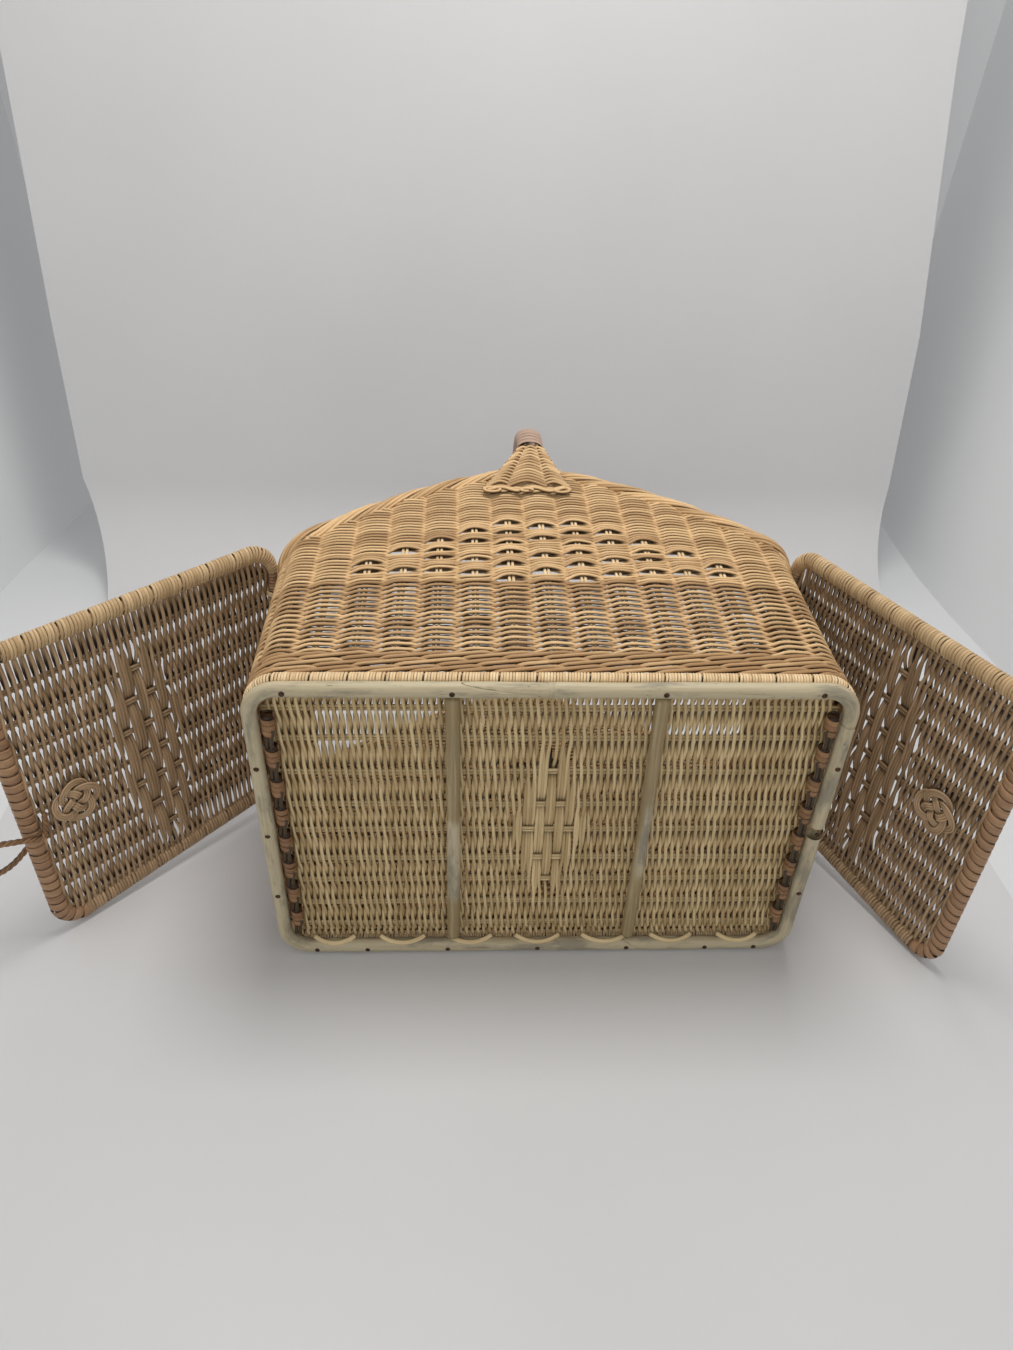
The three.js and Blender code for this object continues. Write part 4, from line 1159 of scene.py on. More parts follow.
@dataclass
class Foot(Assembly):
    """Frame under the basket: a bent pole in two halves, two poles across it and nail heads.

    Args:
        wall: Shape of the wall that stands on it.
        bar: Thickness of the poles across the foot.
        bars: The poles across the foot.
        bar_ends: Front and back end of both.
        front_scarf: Start and end of the front scarf joint along the basket.
        back_scarf: Start and end of the back scarf joint.
        scarf_gap: Gap in a scarf joint.
        nails_along: Nails of the back pole, as shares of its half length.
        nails_across: Nails of each end pole, as shares of its half width.
        nail: Half width of a nail head.
    """

    wall: Wall
    bar: float = 9.6
    bars: tuple[CrossPole, ...] = (
        CrossPole(Side.LEFT, -62.0, 2, -16.0, 74.0, 0.0), CrossPole(Side.RIGHT, 66.5, 7, -30.0, 50.0, 0.9)
    )
    bar_ends: tuple[float, float] = (-114.2, 108.5)
    front_scarf: tuple[float, float] = (-50.0, 14.0)
    back_scarf: tuple[float, float] = (66.0, 82.0)
    scarf_gap: float = 0.3
    nails_along: tuple[float, ...] = (-0.88, -0.68, -0.36, 0.0, 0.36, 0.68, 0.88)
    nails_across: tuple[float, ...] = (-0.5, 0.0, 0.5)
    nail: float = 1.8

    def build(self) -> None:
        """Build the foot."""
        self.foot_frame()
        self.cross_bars()
        self.nails()

    def pole(self, line: np.ndarray, radius: float, seed: int, closed: bool) -> Strands:
        """One peeled pole, a little uneven, with swollen knuckles.

        Args:
            line: Its middle line.
            radius: Its half thickness.
            seed: Seed of its unevenness.
            closed: Whether its end joins its start.

        Returns:
            The pole as strands.
        """
        strands = Strands(seed, sides=20)
        reach = travelled(line)
        uneven = 0.12 * np.sin(reach / 31.0 + seed) + 0.1 * np.sin(reach / 13.0 + 2 * seed)
        knuckle = 0.25 * np.exp(-(((reach % 171.0) - 80.0) / 2.2) ** 2)
        most = 0.22
        size = radius - most + np.minimum(uneven + knuckle, most)
        strands.add(line, size, UP, closed=closed, tint=0.75)
        return strands

    def frame_line(self, steps: int = 40, bend: int = 12) -> np.ndarray:
        """Middle line of the bent pole, counted from the middle of the front side.

        Args:
            steps: Points on each half side.
            bend: Points in each corner.

        Returns:
            Points of the closed line.
        """
        level = self.wall.pole / 2
        radius = self.wall.corner - level
        x, y = self.wall.length / 2 - level - radius, self.wall.width / 2 - level - radius
        knots = [(0, -y, -90), (x, -y, -90), (x, -y, 0), (x, y, 0), (x, y, 90), (0, y, 90)]
        points = []
        for (ax, ay, aa), (bx, by, ba) in zip(knots, knots[1:]):
            count = bend if aa != ba else steps
            for share in (k / count for k in range(count)):
                angle = math.radians(aa + (ba - aa) * share)
                points.append((ax + (bx - ax) * share + radius * math.cos(angle),
                               ay + (by - ay) * share + radius * math.sin(angle), level))
        half = np.array(points)
        return np.vstack([half, half * np.array([-1, -1, 1])])

    def foot_frame(self) -> None:
        """Bent pole round the foot in two halves, cut along slanted scarf joints."""
        line = self.frame_line()
        millimetres = Space(np.zeros(3), np.eye(3) / MM)
        for side in Side:
            strands = self.pole(line, self.wall.pole / 2, 4, True)
            piece = strands.build(f"foot_pole_{side.word}", millimetres, self.palette[Finish.POLE])
            self.cut_scarfs(piece, side)
            self.finish_piece(piece, Finish.POLE, [f"base_frame_{side.word}"])

    def cut_scarfs(self, piece: bpy.types.Object, side: Side) -> None:
        """Keep one half of the foot pole, cut along both scarf joints, and move it to its place.

        Args:
            piece: The whole ring, in upright millimetres.
            side: Which half to keep.
        """
        mesh = bmesh.new()
        mesh.from_mesh(piece.data)
        shift = side * self.scarf_gap / 2
        outer, inner = self.wall.width / 2 - self.wall.pole * 0.1, self.wall.width / 2 - self.wall.pole * 0.9
        joints = ((*self.front_scarf, LongWall.FRONT), (*self.back_scarf[::-1], LongWall.BACK))
        for start, end, where in joints:
            ax, ay, bx, by = start + shift, where * outer, end + shift, where * inner
            normal = np.array([by - ay, ax - bx, 0.0])
            normal = normal if normal[0] * side < 0 else -normal
            near = [f for f in mesh.faces if f.calc_center_median().y * where > 0]
            edges = list(dict.fromkeys(e for f in near for e in f.edges))
            points = list(dict.fromkeys(v for f in near for v in f.verts))
            done = bmesh.ops.bisect_plane(
                mesh, geom=near + edges + points, plane_co=(ax, ay, 0), plane_no=tuple(normal), clear_outer=True
            )
            rim = [e for e in done["geom_cut"] if isinstance(e, bmesh.types.BMEdge)]
            bmesh.ops.holes_fill(mesh, edges=rim, sides=0)
        mesh.to_mesh(piece.data)
        mesh.free()
        lean = self.space.basis
        matrix = Matrix([[*(lean[i] * MM), self.space.origin[i] * MM] for i in range(3)] + [[0, 0, 0, 1]])
        piece.data.transform(matrix)

    def cross_bars(self) -> None:
        """Two poles across the foot."""
        for bar in self.bars:
            y = np.linspace(*self.bar_ends, 90)
            bow = 0.35 * np.sin(y / 60.0 + bar.seed)
            strands = self.pole(course(bar.place + bow, y, self.wall.pole / 2), self.bar / 2, bar.seed, False)
            angle = 2 * np.pi * (np.arange(strands.sides) + 0.5) / strands.sides
            facing = ease(1.4 * np.cos(angle + np.pi / 2 - bar.turn) + 0.2)
            whittled = ease((y - bar.start) / 12.0) * ease((bar.end - y) / 20.0)
            strands.tints = [(0.2 + 0.65 * whittled[:, None] * facing[None, :]).ravel()]
            self.strands_piece(strands, f"foot_bar_{bar.side.word}", Finish.POLE, [f"cross_bar_{bar.side.word}"])

    def nails(self) -> None:
        """Flat nail heads sunk in the foot pole."""
        x, y = self.wall.length / 2 - self.wall.pole / 2, self.wall.width / 2 - self.wall.pole / 2
        along = self.nails_along
        spots = [(share * x, y) for share in along]
        spots += [(place, -y) for place in (along[0] * x, *(bar.place for bar in self.bars), along[-1] * x)]
        spots += [(end * x, share * y) for end in Side for share in self.nails_across]
        strands = Strands(3, sides=12)
        widths = np.array([self.nail, self.nail, 1.5, 0.4])
        for px, py in spots:
            strands.add(course(px, py, np.array([0.85, 0.1, -0.05, -0.1])), widths, LENGTHWAYS)
        names = [f"frame_nail_{i + 1}" for i in range(len(spots))]
        self.strands_piece(strands, "nail_heads", Finish.NAIL, names)


@dataclass
class Bottom(Assembly):
    """Woven bottom, the bundles inside both ends of the foot and the lashings on the back pole.

    Args:
        wall: Shape of the wall round it.
        middle: Height of the sheet's middle.
        half_length: How far the weave reaches to both ends.
        half_width: How far it reaches to both long walls.
        stakes: Places of the paired stakes across the basket.
        row_pitch: Distance between two rows.
        lozenge: Bundles in the middle.
        swing: Distance of a weaver from the middle at a stake.
        twist: Distance of a weaver from its row where the pair crosses.
        reed: Half width of a weaver.
        stake: Half width of a stake.
        coil: Thickness of the end bundles.
        coils: Windings in each end bundle.
        coil_pitch: Distance from one winding to the next.
        coil_length: Length of a winding.
        lashings: Place and length of each lashing.
        lashing_bow: Course of a lashing: share of its length, distance out of the pole's inner face and height.
    """

    wall: Wall
    middle: float = 13.9
    half_length: float = 176.0
    half_width: float = 116.0
    stakes: tuple[float, ...] = (-99.0, -75.0, -46.0, -17.0, 7.0, 35.0, 57.0, 81.0, 105.0)
    row_pitch: float = 4.35
    lozenge: Lozenge = Lozenge(3.0, 14.0, (3, 2, 1))
    swing: float = 2.05
    twist: float = 0.8
    reed: float = 1.3
    stake: float = 1.1
    coil: float = 9.2
    coils: int = 8
    coil_pitch: float = 25.5
    coil_length: float = 13.5
    lashings: tuple[tuple[float, float], ...] = (
        (-150, 30), (-100, 33), (-50, 32), (0, 33), (50, 34), (100, 31), (150, 30)
    )
    lashing_bow: tuple[tuple[float, float, float], ...] = (
        (-0.5, -1.9, 7.6), (-0.34, -0.6, 5.0), (-0.12, 0.2, 3.0), (0.12, 0.2, 3.0), (0.34, -0.6, 5.0), (0.5, -1.9, 7.6)
    )

    def build(self) -> None:
        """Build the bottom."""
        self.weave()
        for side in Side:
            self.end_bundle(side)
        self.lashed()

    def weave(self) -> None:
        """Paired stakes along the basket and twined weavers across it."""
        sheet = TwinedSheet(np.array([-self.half_width, *self.stakes, self.half_width]), self.swing, self.twist)
        numbers = np.arange(len(self.stakes)) - len(self.stakes) // 2
        rows = int(2 * self.half_length / self.row_pitch)
        weavers = Strands(11)
        for i in range(rows + 1):
            x = (i - rows / 2) * self.row_pitch
            for along, across, out in sheet.pair(x, self.row_pitch, self.lozenge, numbers, held=False):
                line = course(x + across, along, self.middle - out)
                line[:, 0] += weavers.wobble(len(along), 0.15)
                weavers.add(line, self.reed, -UP, sway=0.7 * out / sheet.swing)
        self.strands_piece(weavers, "bottom_weavers", Finish.STRAW, ["base_weave"])
        sticks = Strands(12)
        x = np.linspace(-self.half_length - 4, self.half_length + 4, 60)
        for y in self.stakes:
            for k in (-1, 1):
                line = course(x, y + 1.25 * k + 0.3 * np.sin(x / 37.0 + y), self.middle)
                sticks.add(line, self.stake, UP, tint=sticks.random.uniform(0.5, 1.0), sway=0.0)
        self.strands_piece(sticks, "bottom_stakes", Finish.STRAW)

    def end_bundle(self, side: Side) -> None:
        """Brown strips wound over the stakes inside one end of the foot, with pale stake ends between them.

        Args:
            side: End of the basket.
        """
        reach = self.wall.width / 2 - self.wall.corner
        middle = self.wall.pole - self.coil / 2 + 0.3
        x = side * (self.wall.length / 2 - self.wall.pole - self.coil / 2 - 0.3)
        strips, ends = Strands(20 + side, sides=8), Strands(30 + side)
        s = np.linspace(0, 1, 10)
        for k in range(self.coils):
            start = -reach + 2 + k * self.coil_pitch
            end = min(start + self.coil_length, reach)
            path = course(x, np.linspace(start, end, 8), middle)
            strips.wind(path, UP, (4.4, 4.4), 4.6, 4.5, 1.1, samples=18, core=0.8)
            for j in (0, 1):
                sy = end - 4 + 17 * s
                sx = x + side * (2.2 - 3.4 * j - 2.2 * (1 - s) ** 2 + 0.8 * j * s)
                line = course(sx, sy, np.full_like(sy, middle - 2.2 - 0.5 * j) + 1.5 * s**3)
                ends.add(line[sy < reach + 8], 1.35, UP, tint=0.85)
        self.strands_piece(strips, f"end_bundle_{side.word}", Finish.COIL, [f"base_coil_{side.word}"])
        self.strands_piece(ends, f"stake_ends_{side.word}", Finish.STRAW)

    def lashed(self) -> None:
        """Pale strips that lash the bottom to the back pole, each lying over the pole's inner shoulder."""
        strips = Strands(40, sides=8)
        edge = self.wall.width / 2 - self.wall.pole
        for x, length in self.lashings:
            line = spline([(x + share * length, edge + out, z) for share, out, z in self.lashing_bow], 26)
            strips.add(line, 1.75, np.array([0.0, -0.62, -0.78]), flat=0.42, tint=0.95)
        names = [f"base_lashing_{i + 1}" for i in range(len(self.lashings))]
        self.strands_piece(strips, "bottom_lashings", Finish.STRAW, names)


@dataclass
class Sides(Assembly):
    """Wound band, waling, woven wall, rolled border and the ties of the lids.

    Args:
        wall: Shape of the wall.
        waling_rounds: Rounds of waling.
        waling_rod: Half width of a waling rod.
        stake_shift: Distance of the first pair of stakes from the middle of the front.
        stake: Half width of a stake.
        reed: Half width of a weaver.
        open_pitch: Distance between two rows in the open zone.
        open_top: Top of the open zone.
        close_pitch: Distance between two rows above it.
        eyes: Heights of the eyes on each stake, counted from the middle stake of a long wall.
        opening: Distance of the rows from an eye's middle.
        fade: Height over and under the eyes in which the rows come back to their even places.
        tight: Least distance between two rows between eyes.
        crossings: Times that a bundle of the border comes to the outside.
        bundles: Bundles of the border.
        reeds: Reeds of a bundle.
        hinge_roll: Thickness of the lids' hinge rolls.
        hinge_angle: Angle of a hinge roll from straight out of the border.
        ties: Places of the hinge ties across the basket.
    """

    wall: Wall
    waling_rounds: int = 3
    waling_rod: float = 1.6
    stake_shift: float = 3.0
    stake: float = 1.2
    reed: float = 1.32
    open_pitch: float = 5.8
    open_top: float = 121.0
    close_pitch: float = 4.5
    eyes: tuple[tuple[float, ...], ...] = (
        (136, 157, 183, 200), (126, 145, 162.5, 175.5, 191, 206), (133, 151.5, 178.5, 194.5),
        (137, 155, 166, 180), (139, 164), (139, 149.5),
    )
    opening: float = 5.2
    fade: float = 13.0
    tight: float = 2.4
    crossings: int = 34
    bundles: int = 3
    reeds: int = 4
    hinge_roll: float = 10.0
    hinge_angle: float = 25.0
    ties: tuple[float, ...] = (-74.0, 0.0, 74.0)

    def build(self) -> None:
        """Build the sides."""
        self.foot_winding()
        self.waling()
        self.wall_stakes()
        self.wall_weavers()
        self.rim()
        for side in Side:
            self.hinge_ties(side)

    def foot_winding(self) -> None:
        """Fine reed wound round the rod on top of the foot pole."""
        strands = Strands(41)
        count = 720
        t = np.arange(count) / count * self.wall.round
        level = self.wall.pole + 0.4 + self.wall.binding / 2
        path = self.wall.point(t, level, -self.wall.thickness / 2 + 0.9)
        half = (self.wall.thickness / 2 + 1.0, self.wall.binding / 2 + 1.0)
        strands.wind(path, UP, half, 1.9, 1.86, 1.3, samples=12, closed=True, group=12, group_gap=1.1, core=0.8)
        self.strands_piece(strands, "foot_winding", Finish.GOLDEN, ["foot_binding"])

    def waling(self) -> None:
        """Rounds of three rods each, every rod over two stakes and behind the third."""
        strands = Strands(42)
        samples = 8
        t = np.arange(self.wall.stakes * samples) / samples * self.wall.pitch
        pitch = (self.wall.waling_top - self.wall.binding_top) / self.waling_rounds
        for row in range(self.waling_rounds):
            level = self.wall.binding_top + (row + 0.5) * pitch
            for j in range(3):
                phase = np.mod((t - self.stake_shift) / self.wall.pitch + j + row * 1.37, 3.0)
                front = 0.5 + 0.5 * np.cos(2 * np.pi * (phase - 1.25) / 3.0)
                out = -4.9 + 4.7 * ease(front * 1.6)
                rise = np.where(phase < 2.5, ease(phase / 2.5), ease((3.0 - phase) / 0.5))
                z = level + (rise - 0.5) * 6.6 + strands.wobble(len(t), 0.2, closed=True)
                line = self.wall.point(t, z, out)
                shade = strands.random.uniform(-0.2, 0.6)
                sway = np.clip((out + 1.8) / 1.6, -1, 1)
                strands.add(line, self.waling_rod, self.wall.outward(t), closed=True, tint=shade, sway=sway)
        self.strands_piece(strands, "waling_rounds", Finish.WALL, ["waling_band"])

    def wall_stakes(self) -> None:
        """Paired upright stakes of the wall."""
        strands = Strands(43)
        for k in range(self.wall.stakes):
            t = k * self.wall.pitch + self.stake_shift
            for j in (-1, 1):
                spot = np.array([t + 1.35 * j])
                z = np.linspace(self.wall.binding_top - 5, float(self.wall.weave_top(spot)[0]), 24)
                line = self.wall.point(spot[0] + strands.wobble(len(z), 0.15), z, -self.wall.thickness / 2)
                tint = strands.random.uniform(0.5, 1.2)
                strands.add(line, self.stake, self.wall.outward(np.full_like(z, t)), tint=tint, sway=0.0)
        self.strands_piece(strands, "wall_stakes", Finish.GOLDEN)

    def parted(self, levels: np.ndarray, column: int) -> np.ndarray:
        """Heights of the rows at the middle of one stake of a long wall, parted round its eyes.

        Args:
            levels: Heights of the even rows.
            column: Stake counted from the middle of the wall.

        Returns:
            Height of each row at that stake.
        """
        eyes = self.eyes[abs(column)]
        moved = levels.copy()
        edges = [eyes[0] - self.fade, *eyes, eyes[-1] + self.fade]
        last = len(edges) - 2
        for k, (low, high) in enumerate(zip(edges, edges[1:])):
            rows = np.flatnonzero((levels > low) & (levels <= high))
            start = low if k == 0 else low + self.opening
            end = high if k == last else high - self.opening
            if k in (0, last):
                moved[rows] = start + (levels[rows] - low) * (end - start) / (high - low)
            elif len(rows):
                short = max(0.0, (len(rows) - 1) * self.tight - (end - start)) / 2
                start, end = start - short, end + short
                moved[rows] = np.linspace(start, end, len(rows)) if len(rows) > 1 else (start + end) / 2
        return moved

    def wall_weavers(self) -> None:
        """Twined rows all round the wall, then up both gables."""
        rows = []
        z = self.wall.waling_top + 2.6
        while z < self.wall.apex_height - self.wall.border:
            rows.append(z)
            z += self.open_pitch if z < self.open_top else self.close_pitch
        levels = np.array(rows)
        reach = len(self.eyes) - 1
        columns = {k: self.parted(levels, k) for k in range(-reach, reach + 1)}
        third = len(rows) // 3
        for i, name in enumerate(("lower", "middle", "upper")):
            strands = Strands(50 + i)
            for row in range(i * third, len(rows) if i == 2 else (i + 1) * third):
                self.wall_row(strands, levels[row], {k: moved[row] for k, moved in columns.items()})
            self.strands_piece(strands, f"wall_weavers_{name}", Finish.WALL, ["wall_weave"] if i == 0 else ())

    def wall_row(self, strands: Strands, level: float, columns: dict[int, float]) -> None:
        """Add one twined row at a height.

        Args:
            strands: Collection that takes the weavers.
            level: Height of the row over the foot.
            columns: Height of the row at the stakes round each long wall's middle.
        """
        samples = 8
        step = self.wall.pitch / samples
        t = np.arange(self.wall.stakes * samples) * step
        inside = self.wall.weave_top(t) > level
        if inside.all():
            runs = [(t, True)]
        else:
            half = int(inside[: len(t) // 4].sum())
            near = np.arange(-half, half + 1) * step
            runs = [(near, False), (near + self.wall.round / 2, False)]
        for run, closed in runs:
            if len(run) < 4:
                continue
            along = run - self.stake_shift
            place = (np.mod(along + self.wall.round / 4, self.wall.round / 2) - self.wall.round / 4) / self.wall.pitch
            column = np.rint(place).astype(int)
            share = np.abs(np.cos(np.pi * (place - column))) ** 0.75
            height = np.array([columns.get(k, level) for k in column])
            middle = level + share * (height - level)
            for j in (0, 1):
                phase = np.pi * along / self.wall.pitch + j * np.pi
                sway = np.sign(np.cos(phase)) * np.abs(np.cos(phase)) ** 0.75
                out = -self.wall.thickness / 2 + np.where(sway > 0, 2.6, 1.4) * sway
                twist = 1.2 * np.sign(np.sin(phase)) * ease((np.abs(np.sin(phase)) - 0.6) / 0.4)
                raised = np.where(np.abs(height - level) > 0.1, 1.8, 0.6) * np.maximum(0.0, -sway)
                z = middle + twist + raised + strands.wobble(len(run), 0.2, closed)
                line = self.wall.point(run, z, out)
                strands.add(line, self.reed, self.wall.outward(run), closed=closed, sway=sway)

    def rim(self) -> None:
        """Rolled border: three bundles of reeds laid up as a rope that follows the gables."""
        strands = Strands(60)
        count = 900
        t = np.arange(count) / count * self.wall.round
        x = self.wall.point(t, self.wall.end_height, -self.wall.thickness / 2)[:, 0]
        z = self.wall.border_height(x)
        middle = self.wall.point(t, z, -self.wall.thickness / 2)
        tangent = ring_tangent(middle)
        out = self.wall.outward(t)
        side = unit(np.cross(tangent, np.cross(out, tangent)))
        up = unit(np.cross(side, tangent))
        reach = self.wall.border / 2
        strands.add(middle, reach - 2.4, out, closed=True, tint=0.1)
        for bundle in range(self.bundles):
            for beside in np.arange(self.reeds) - (self.reeds - 1) / 2:
                angle = 2 * np.pi * (self.crossings * np.arange(count) / count + bundle) / self.bundles + beside * 0.44
                radius = reach - 1.5 - 0.9 * abs(beside) / 1.5 + strands.wobble(count, 0.15)
                radial = np.cos(angle)[:, None] * side + np.sin(angle)[:, None] * up
                strands.add(middle + radius[:, None] * radial, 1.45, radial)
        self.strands_piece(strands, "rim_rope", Finish.WALL, ["rim_border"])

    def hinge_ties(self, side: Side) -> None:
        """Reed loops that tie one lid's hinge roll to the end rim.

        Args:
            side: End of the basket.
        """
        end = side * (self.wall.half_length(self.wall.end_height) - self.wall.thickness / 2)
        border = np.array([end, 0, self.wall.end_height - self.wall.border / 2])
        reach = (self.wall.border + self.hinge_roll) / 2 + 0.3
        angle = math.radians(self.hinge_angle)
        roll = border + np.array([side * reach * math.cos(angle), 0, reach * math.sin(angle)])
        round_border, round_roll = self.wall.border / 2 + 1.5, self.hinge_roll / 2 + 1.5
        turn = np.linspace(0, 2 * np.pi, 28, endpoint=False)
        out = course(np.cos(turn), 0.0, np.sin(turn))
        pick = (out @ border + round_border > out @ roll + round_roll)[:, None]
        loop = np.where(pick, border + out * round_border, roll + out * round_roll)
        strands = Strands(70 + side)
        for y in self.ties:
            for k in (-1.0, 0.0, 1.0):
                strands.add(loop + np.array([0.0, y + k * 1.3, 0.0]), 0.8, out, closed=True)
        nodes = [f"hinge_loop_{side.word}_{i + 1}" for i in range(len(self.ties))]
        self.strands_piece(strands, f"hinge_ties_{side.word}", Finish.GOLDEN, nodes)


@dataclass
class Handle(Assembly):
    """Arched handle and the fans that carry it down both long walls.

    Args:
        wall: Shape of the wall.
        width: Width of the handle.
        thickness: Thickness of the handle.
        core: Thickness of the rods inside it.
        rise: Height of the arch.
        fan_over: Height of the fans' tops over the rim.
        fan_height: Height of a fan.
        fan_width: Width of a fan at its hem.
        fan_rows: Reeds across each lobe.
        fan_reed: Half width of such a reed.
        lobes: Each lobe's direction, the place of its foot and the half width of its foot.
    """

    wall: Wall
    width: float = 22.0
    thickness: float = 16.0
    core: float = 10.0
    rise: float = 105.0
    fan_over: float = 6.0
    fan_height: float = 62.0
    fan_width: float = 79.0
    fan_rows: int = 13
    fan_reed: float = 1.28
    lobes: tuple[tuple[int, float, float], ...] = ((-1, -30.0, 11.0), (1, 19.5, 11.0), (0, -5.5, 15.5))

    def build(self) -> None:
        """Build the handle."""
        self.handle()
        for side in LongWall:
            self.fan(side)

    def handle_line(self) -> np.ndarray:
        """Middle line of the arched handle.

        Returns:
            Points from the front fan to the back fan.
        """
        rim = self.wall.half_width(float(self.wall.border_height(0.0)), 0.0) - self.wall.thickness / 2
        span = rim + self.wall.border / 2 + 0.3 + self.thickness / 2
        foot = self.wall.apex_height + self.fan_over
        angle = np.linspace(0, np.pi, 60)
        arch = course(0.0, -span * np.cos(angle), foot + self.core + self.rise * np.sin(angle))
        start = course(0.0, -span, np.linspace(foot, foot + self.core * 0.75, 4))
        return np.vstack([start, arch, start[::-1] * np.array([1, -1, 1])])

    def handle(self) -> None:
        """Rods of the handle and the flat strip wound round them."""
        path = self.handle_line()
        rods = Strands(80, sides=8)
        side = unit(np.cross(unit(np.gradient(path, axis=0)), LENGTHWAYS))
        for a in (-1, 0, 1):
            for b in (-1, 1):
                rods.add(path + a * 4.6 * LENGTHWAYS + b * 2.2 * side, 2.2, LENGTHWAYS)
        self.strands_piece(rods, "handle_rods", Finish.GOLDEN, ["handle_core"])
        strip = Strands(81, sides=8)
        half = (self.thickness / 2 - 0.9, self.width / 2)
        strip.wind(path, LENGTHWAYS, half, 6.4, 6.3, 0.9, samples=22, core=0.9)
        self.strands_piece(strip, "handle_winding", Finish.HANDLE, ["handle_wrap"])

    def fan(self, side: LongWall) -> None:
        """Fan of three splayed lobes wound with fine reed, and its curled hem, on one long wall.

        Args:
            side: The long wall.
        """
        top = self.wall.apex_height + self.fan_over
        span = abs(float(self.handle_line()[0, 1]))
        face = float(self.wall.half_width(250.0, 0.0)) + 0.8
        strands = Strands(90 + side)
        v = np.linspace(-1.1, 1.1, 25)
        crest = span + 1.5
        for lobe, foot_x, foot_half in self.lobes:
            for row in range(self.fan_rows):
                share = (row + 0.5) / self.fan_rows
                half = 4.4 + (foot_half - 4.4) * share
                axis_x = 6.5 * lobe + (foot_x - 6.5 * lobe) * share
                axis_z = top - 1.0 - (self.fan_height - 6) * share
                arch = (2.6 + 2.2 * share) * (1 - np.minimum(1.0, np.abs(v)) ** 1.5)
                seat = crest + (face + 2.0 - crest) * share**0.8
                swell = (1.2 + 1.6 * share) * np.cos(np.pi * np.clip(v, -1, 1) / 2)
                depth = seat + swell + (0.8 if lobe == 0 else 0.0)
                x = axis_x + v * half - 0.3 * lobe * arch
                z = axis_z + arch - 0.3 * abs(lobe) * lobe * v * half
                strands.add(course(x, side * depth, z), self.fan_reed, np.array([0.0, side, -0.5]))
        self.strands_piece(strands, f"handle_fan_weave_{side.word}", Finish.WALL, [f"handle_fan_{side.word}"])
        self.fan_hem(side, top - self.fan_height, face)

    def fan_hem(self, side: LongWall, level: float, face: float) -> None:
        """Curled hem of the fan: crossing wavy reeds, a rolled loop at both ends and a knob in the middle.

        Args:
            side: The long wall.
            level: Height of the fan's lower end.
            face: Distance of the wall's outer face from the middle.
        """
        edge = Strands(95 + side)
        reach = self.fan_width / 2 - 1.0
        facing = np.array([0.0, side, 0.0])
        x = np.linspace(-reach + 1.5, reach - 13.0, 90)
        wave = np.cos(np.pi * x / 13.2)
        for j, (out, drop, phase) in enumerate(((5.2, 0.6, 1), (3.8, -1.0, -1), (4.6, -3.2, 1))):
            z = level + 1.6 - drop + 1.7 * phase * wave * (1 - 0.3 * (x / reach) ** 2)
            line = course(x, side * (face + out - 1.5 + 0.6 * phase * wave), z - 0.6)
            edge.add(line, 1.55, facing, tint=0.8 - 0.15 * j)
        angle = np.linspace(0, 2 * np.pi, 30, endpoint=False)
        for end in Side:
            for ring in (0, 1):
                wide, tall, out = 6.2 - 2.1 * ring, 4.0 - 1.6 * ring, face + 3.6 - 1.2 * ring
                loop = course(-5.5 + 28.0 * end + wide * np.cos(angle), side * out, level - 0.2 + tall * np.sin(angle))
                edge.add(loop, 1.45, facing, closed=True, tint=0.75 - 0.35 * ring)
        angle = np.linspace(-0.3, 1.6 * np.pi, 24)
        knob = course(-6.0 + 4.6 * np.cos(angle), side * (face + 5.0), level - 3.2 + 2.4 * np.sin(angle))
        edge.add(knob, 1.3, facing, tint=0.9)
        self.strands_piece(edge, f"handle_fan_hem_{side.word}", Finish.WALL, [f"fan_edge_{side.word}"])


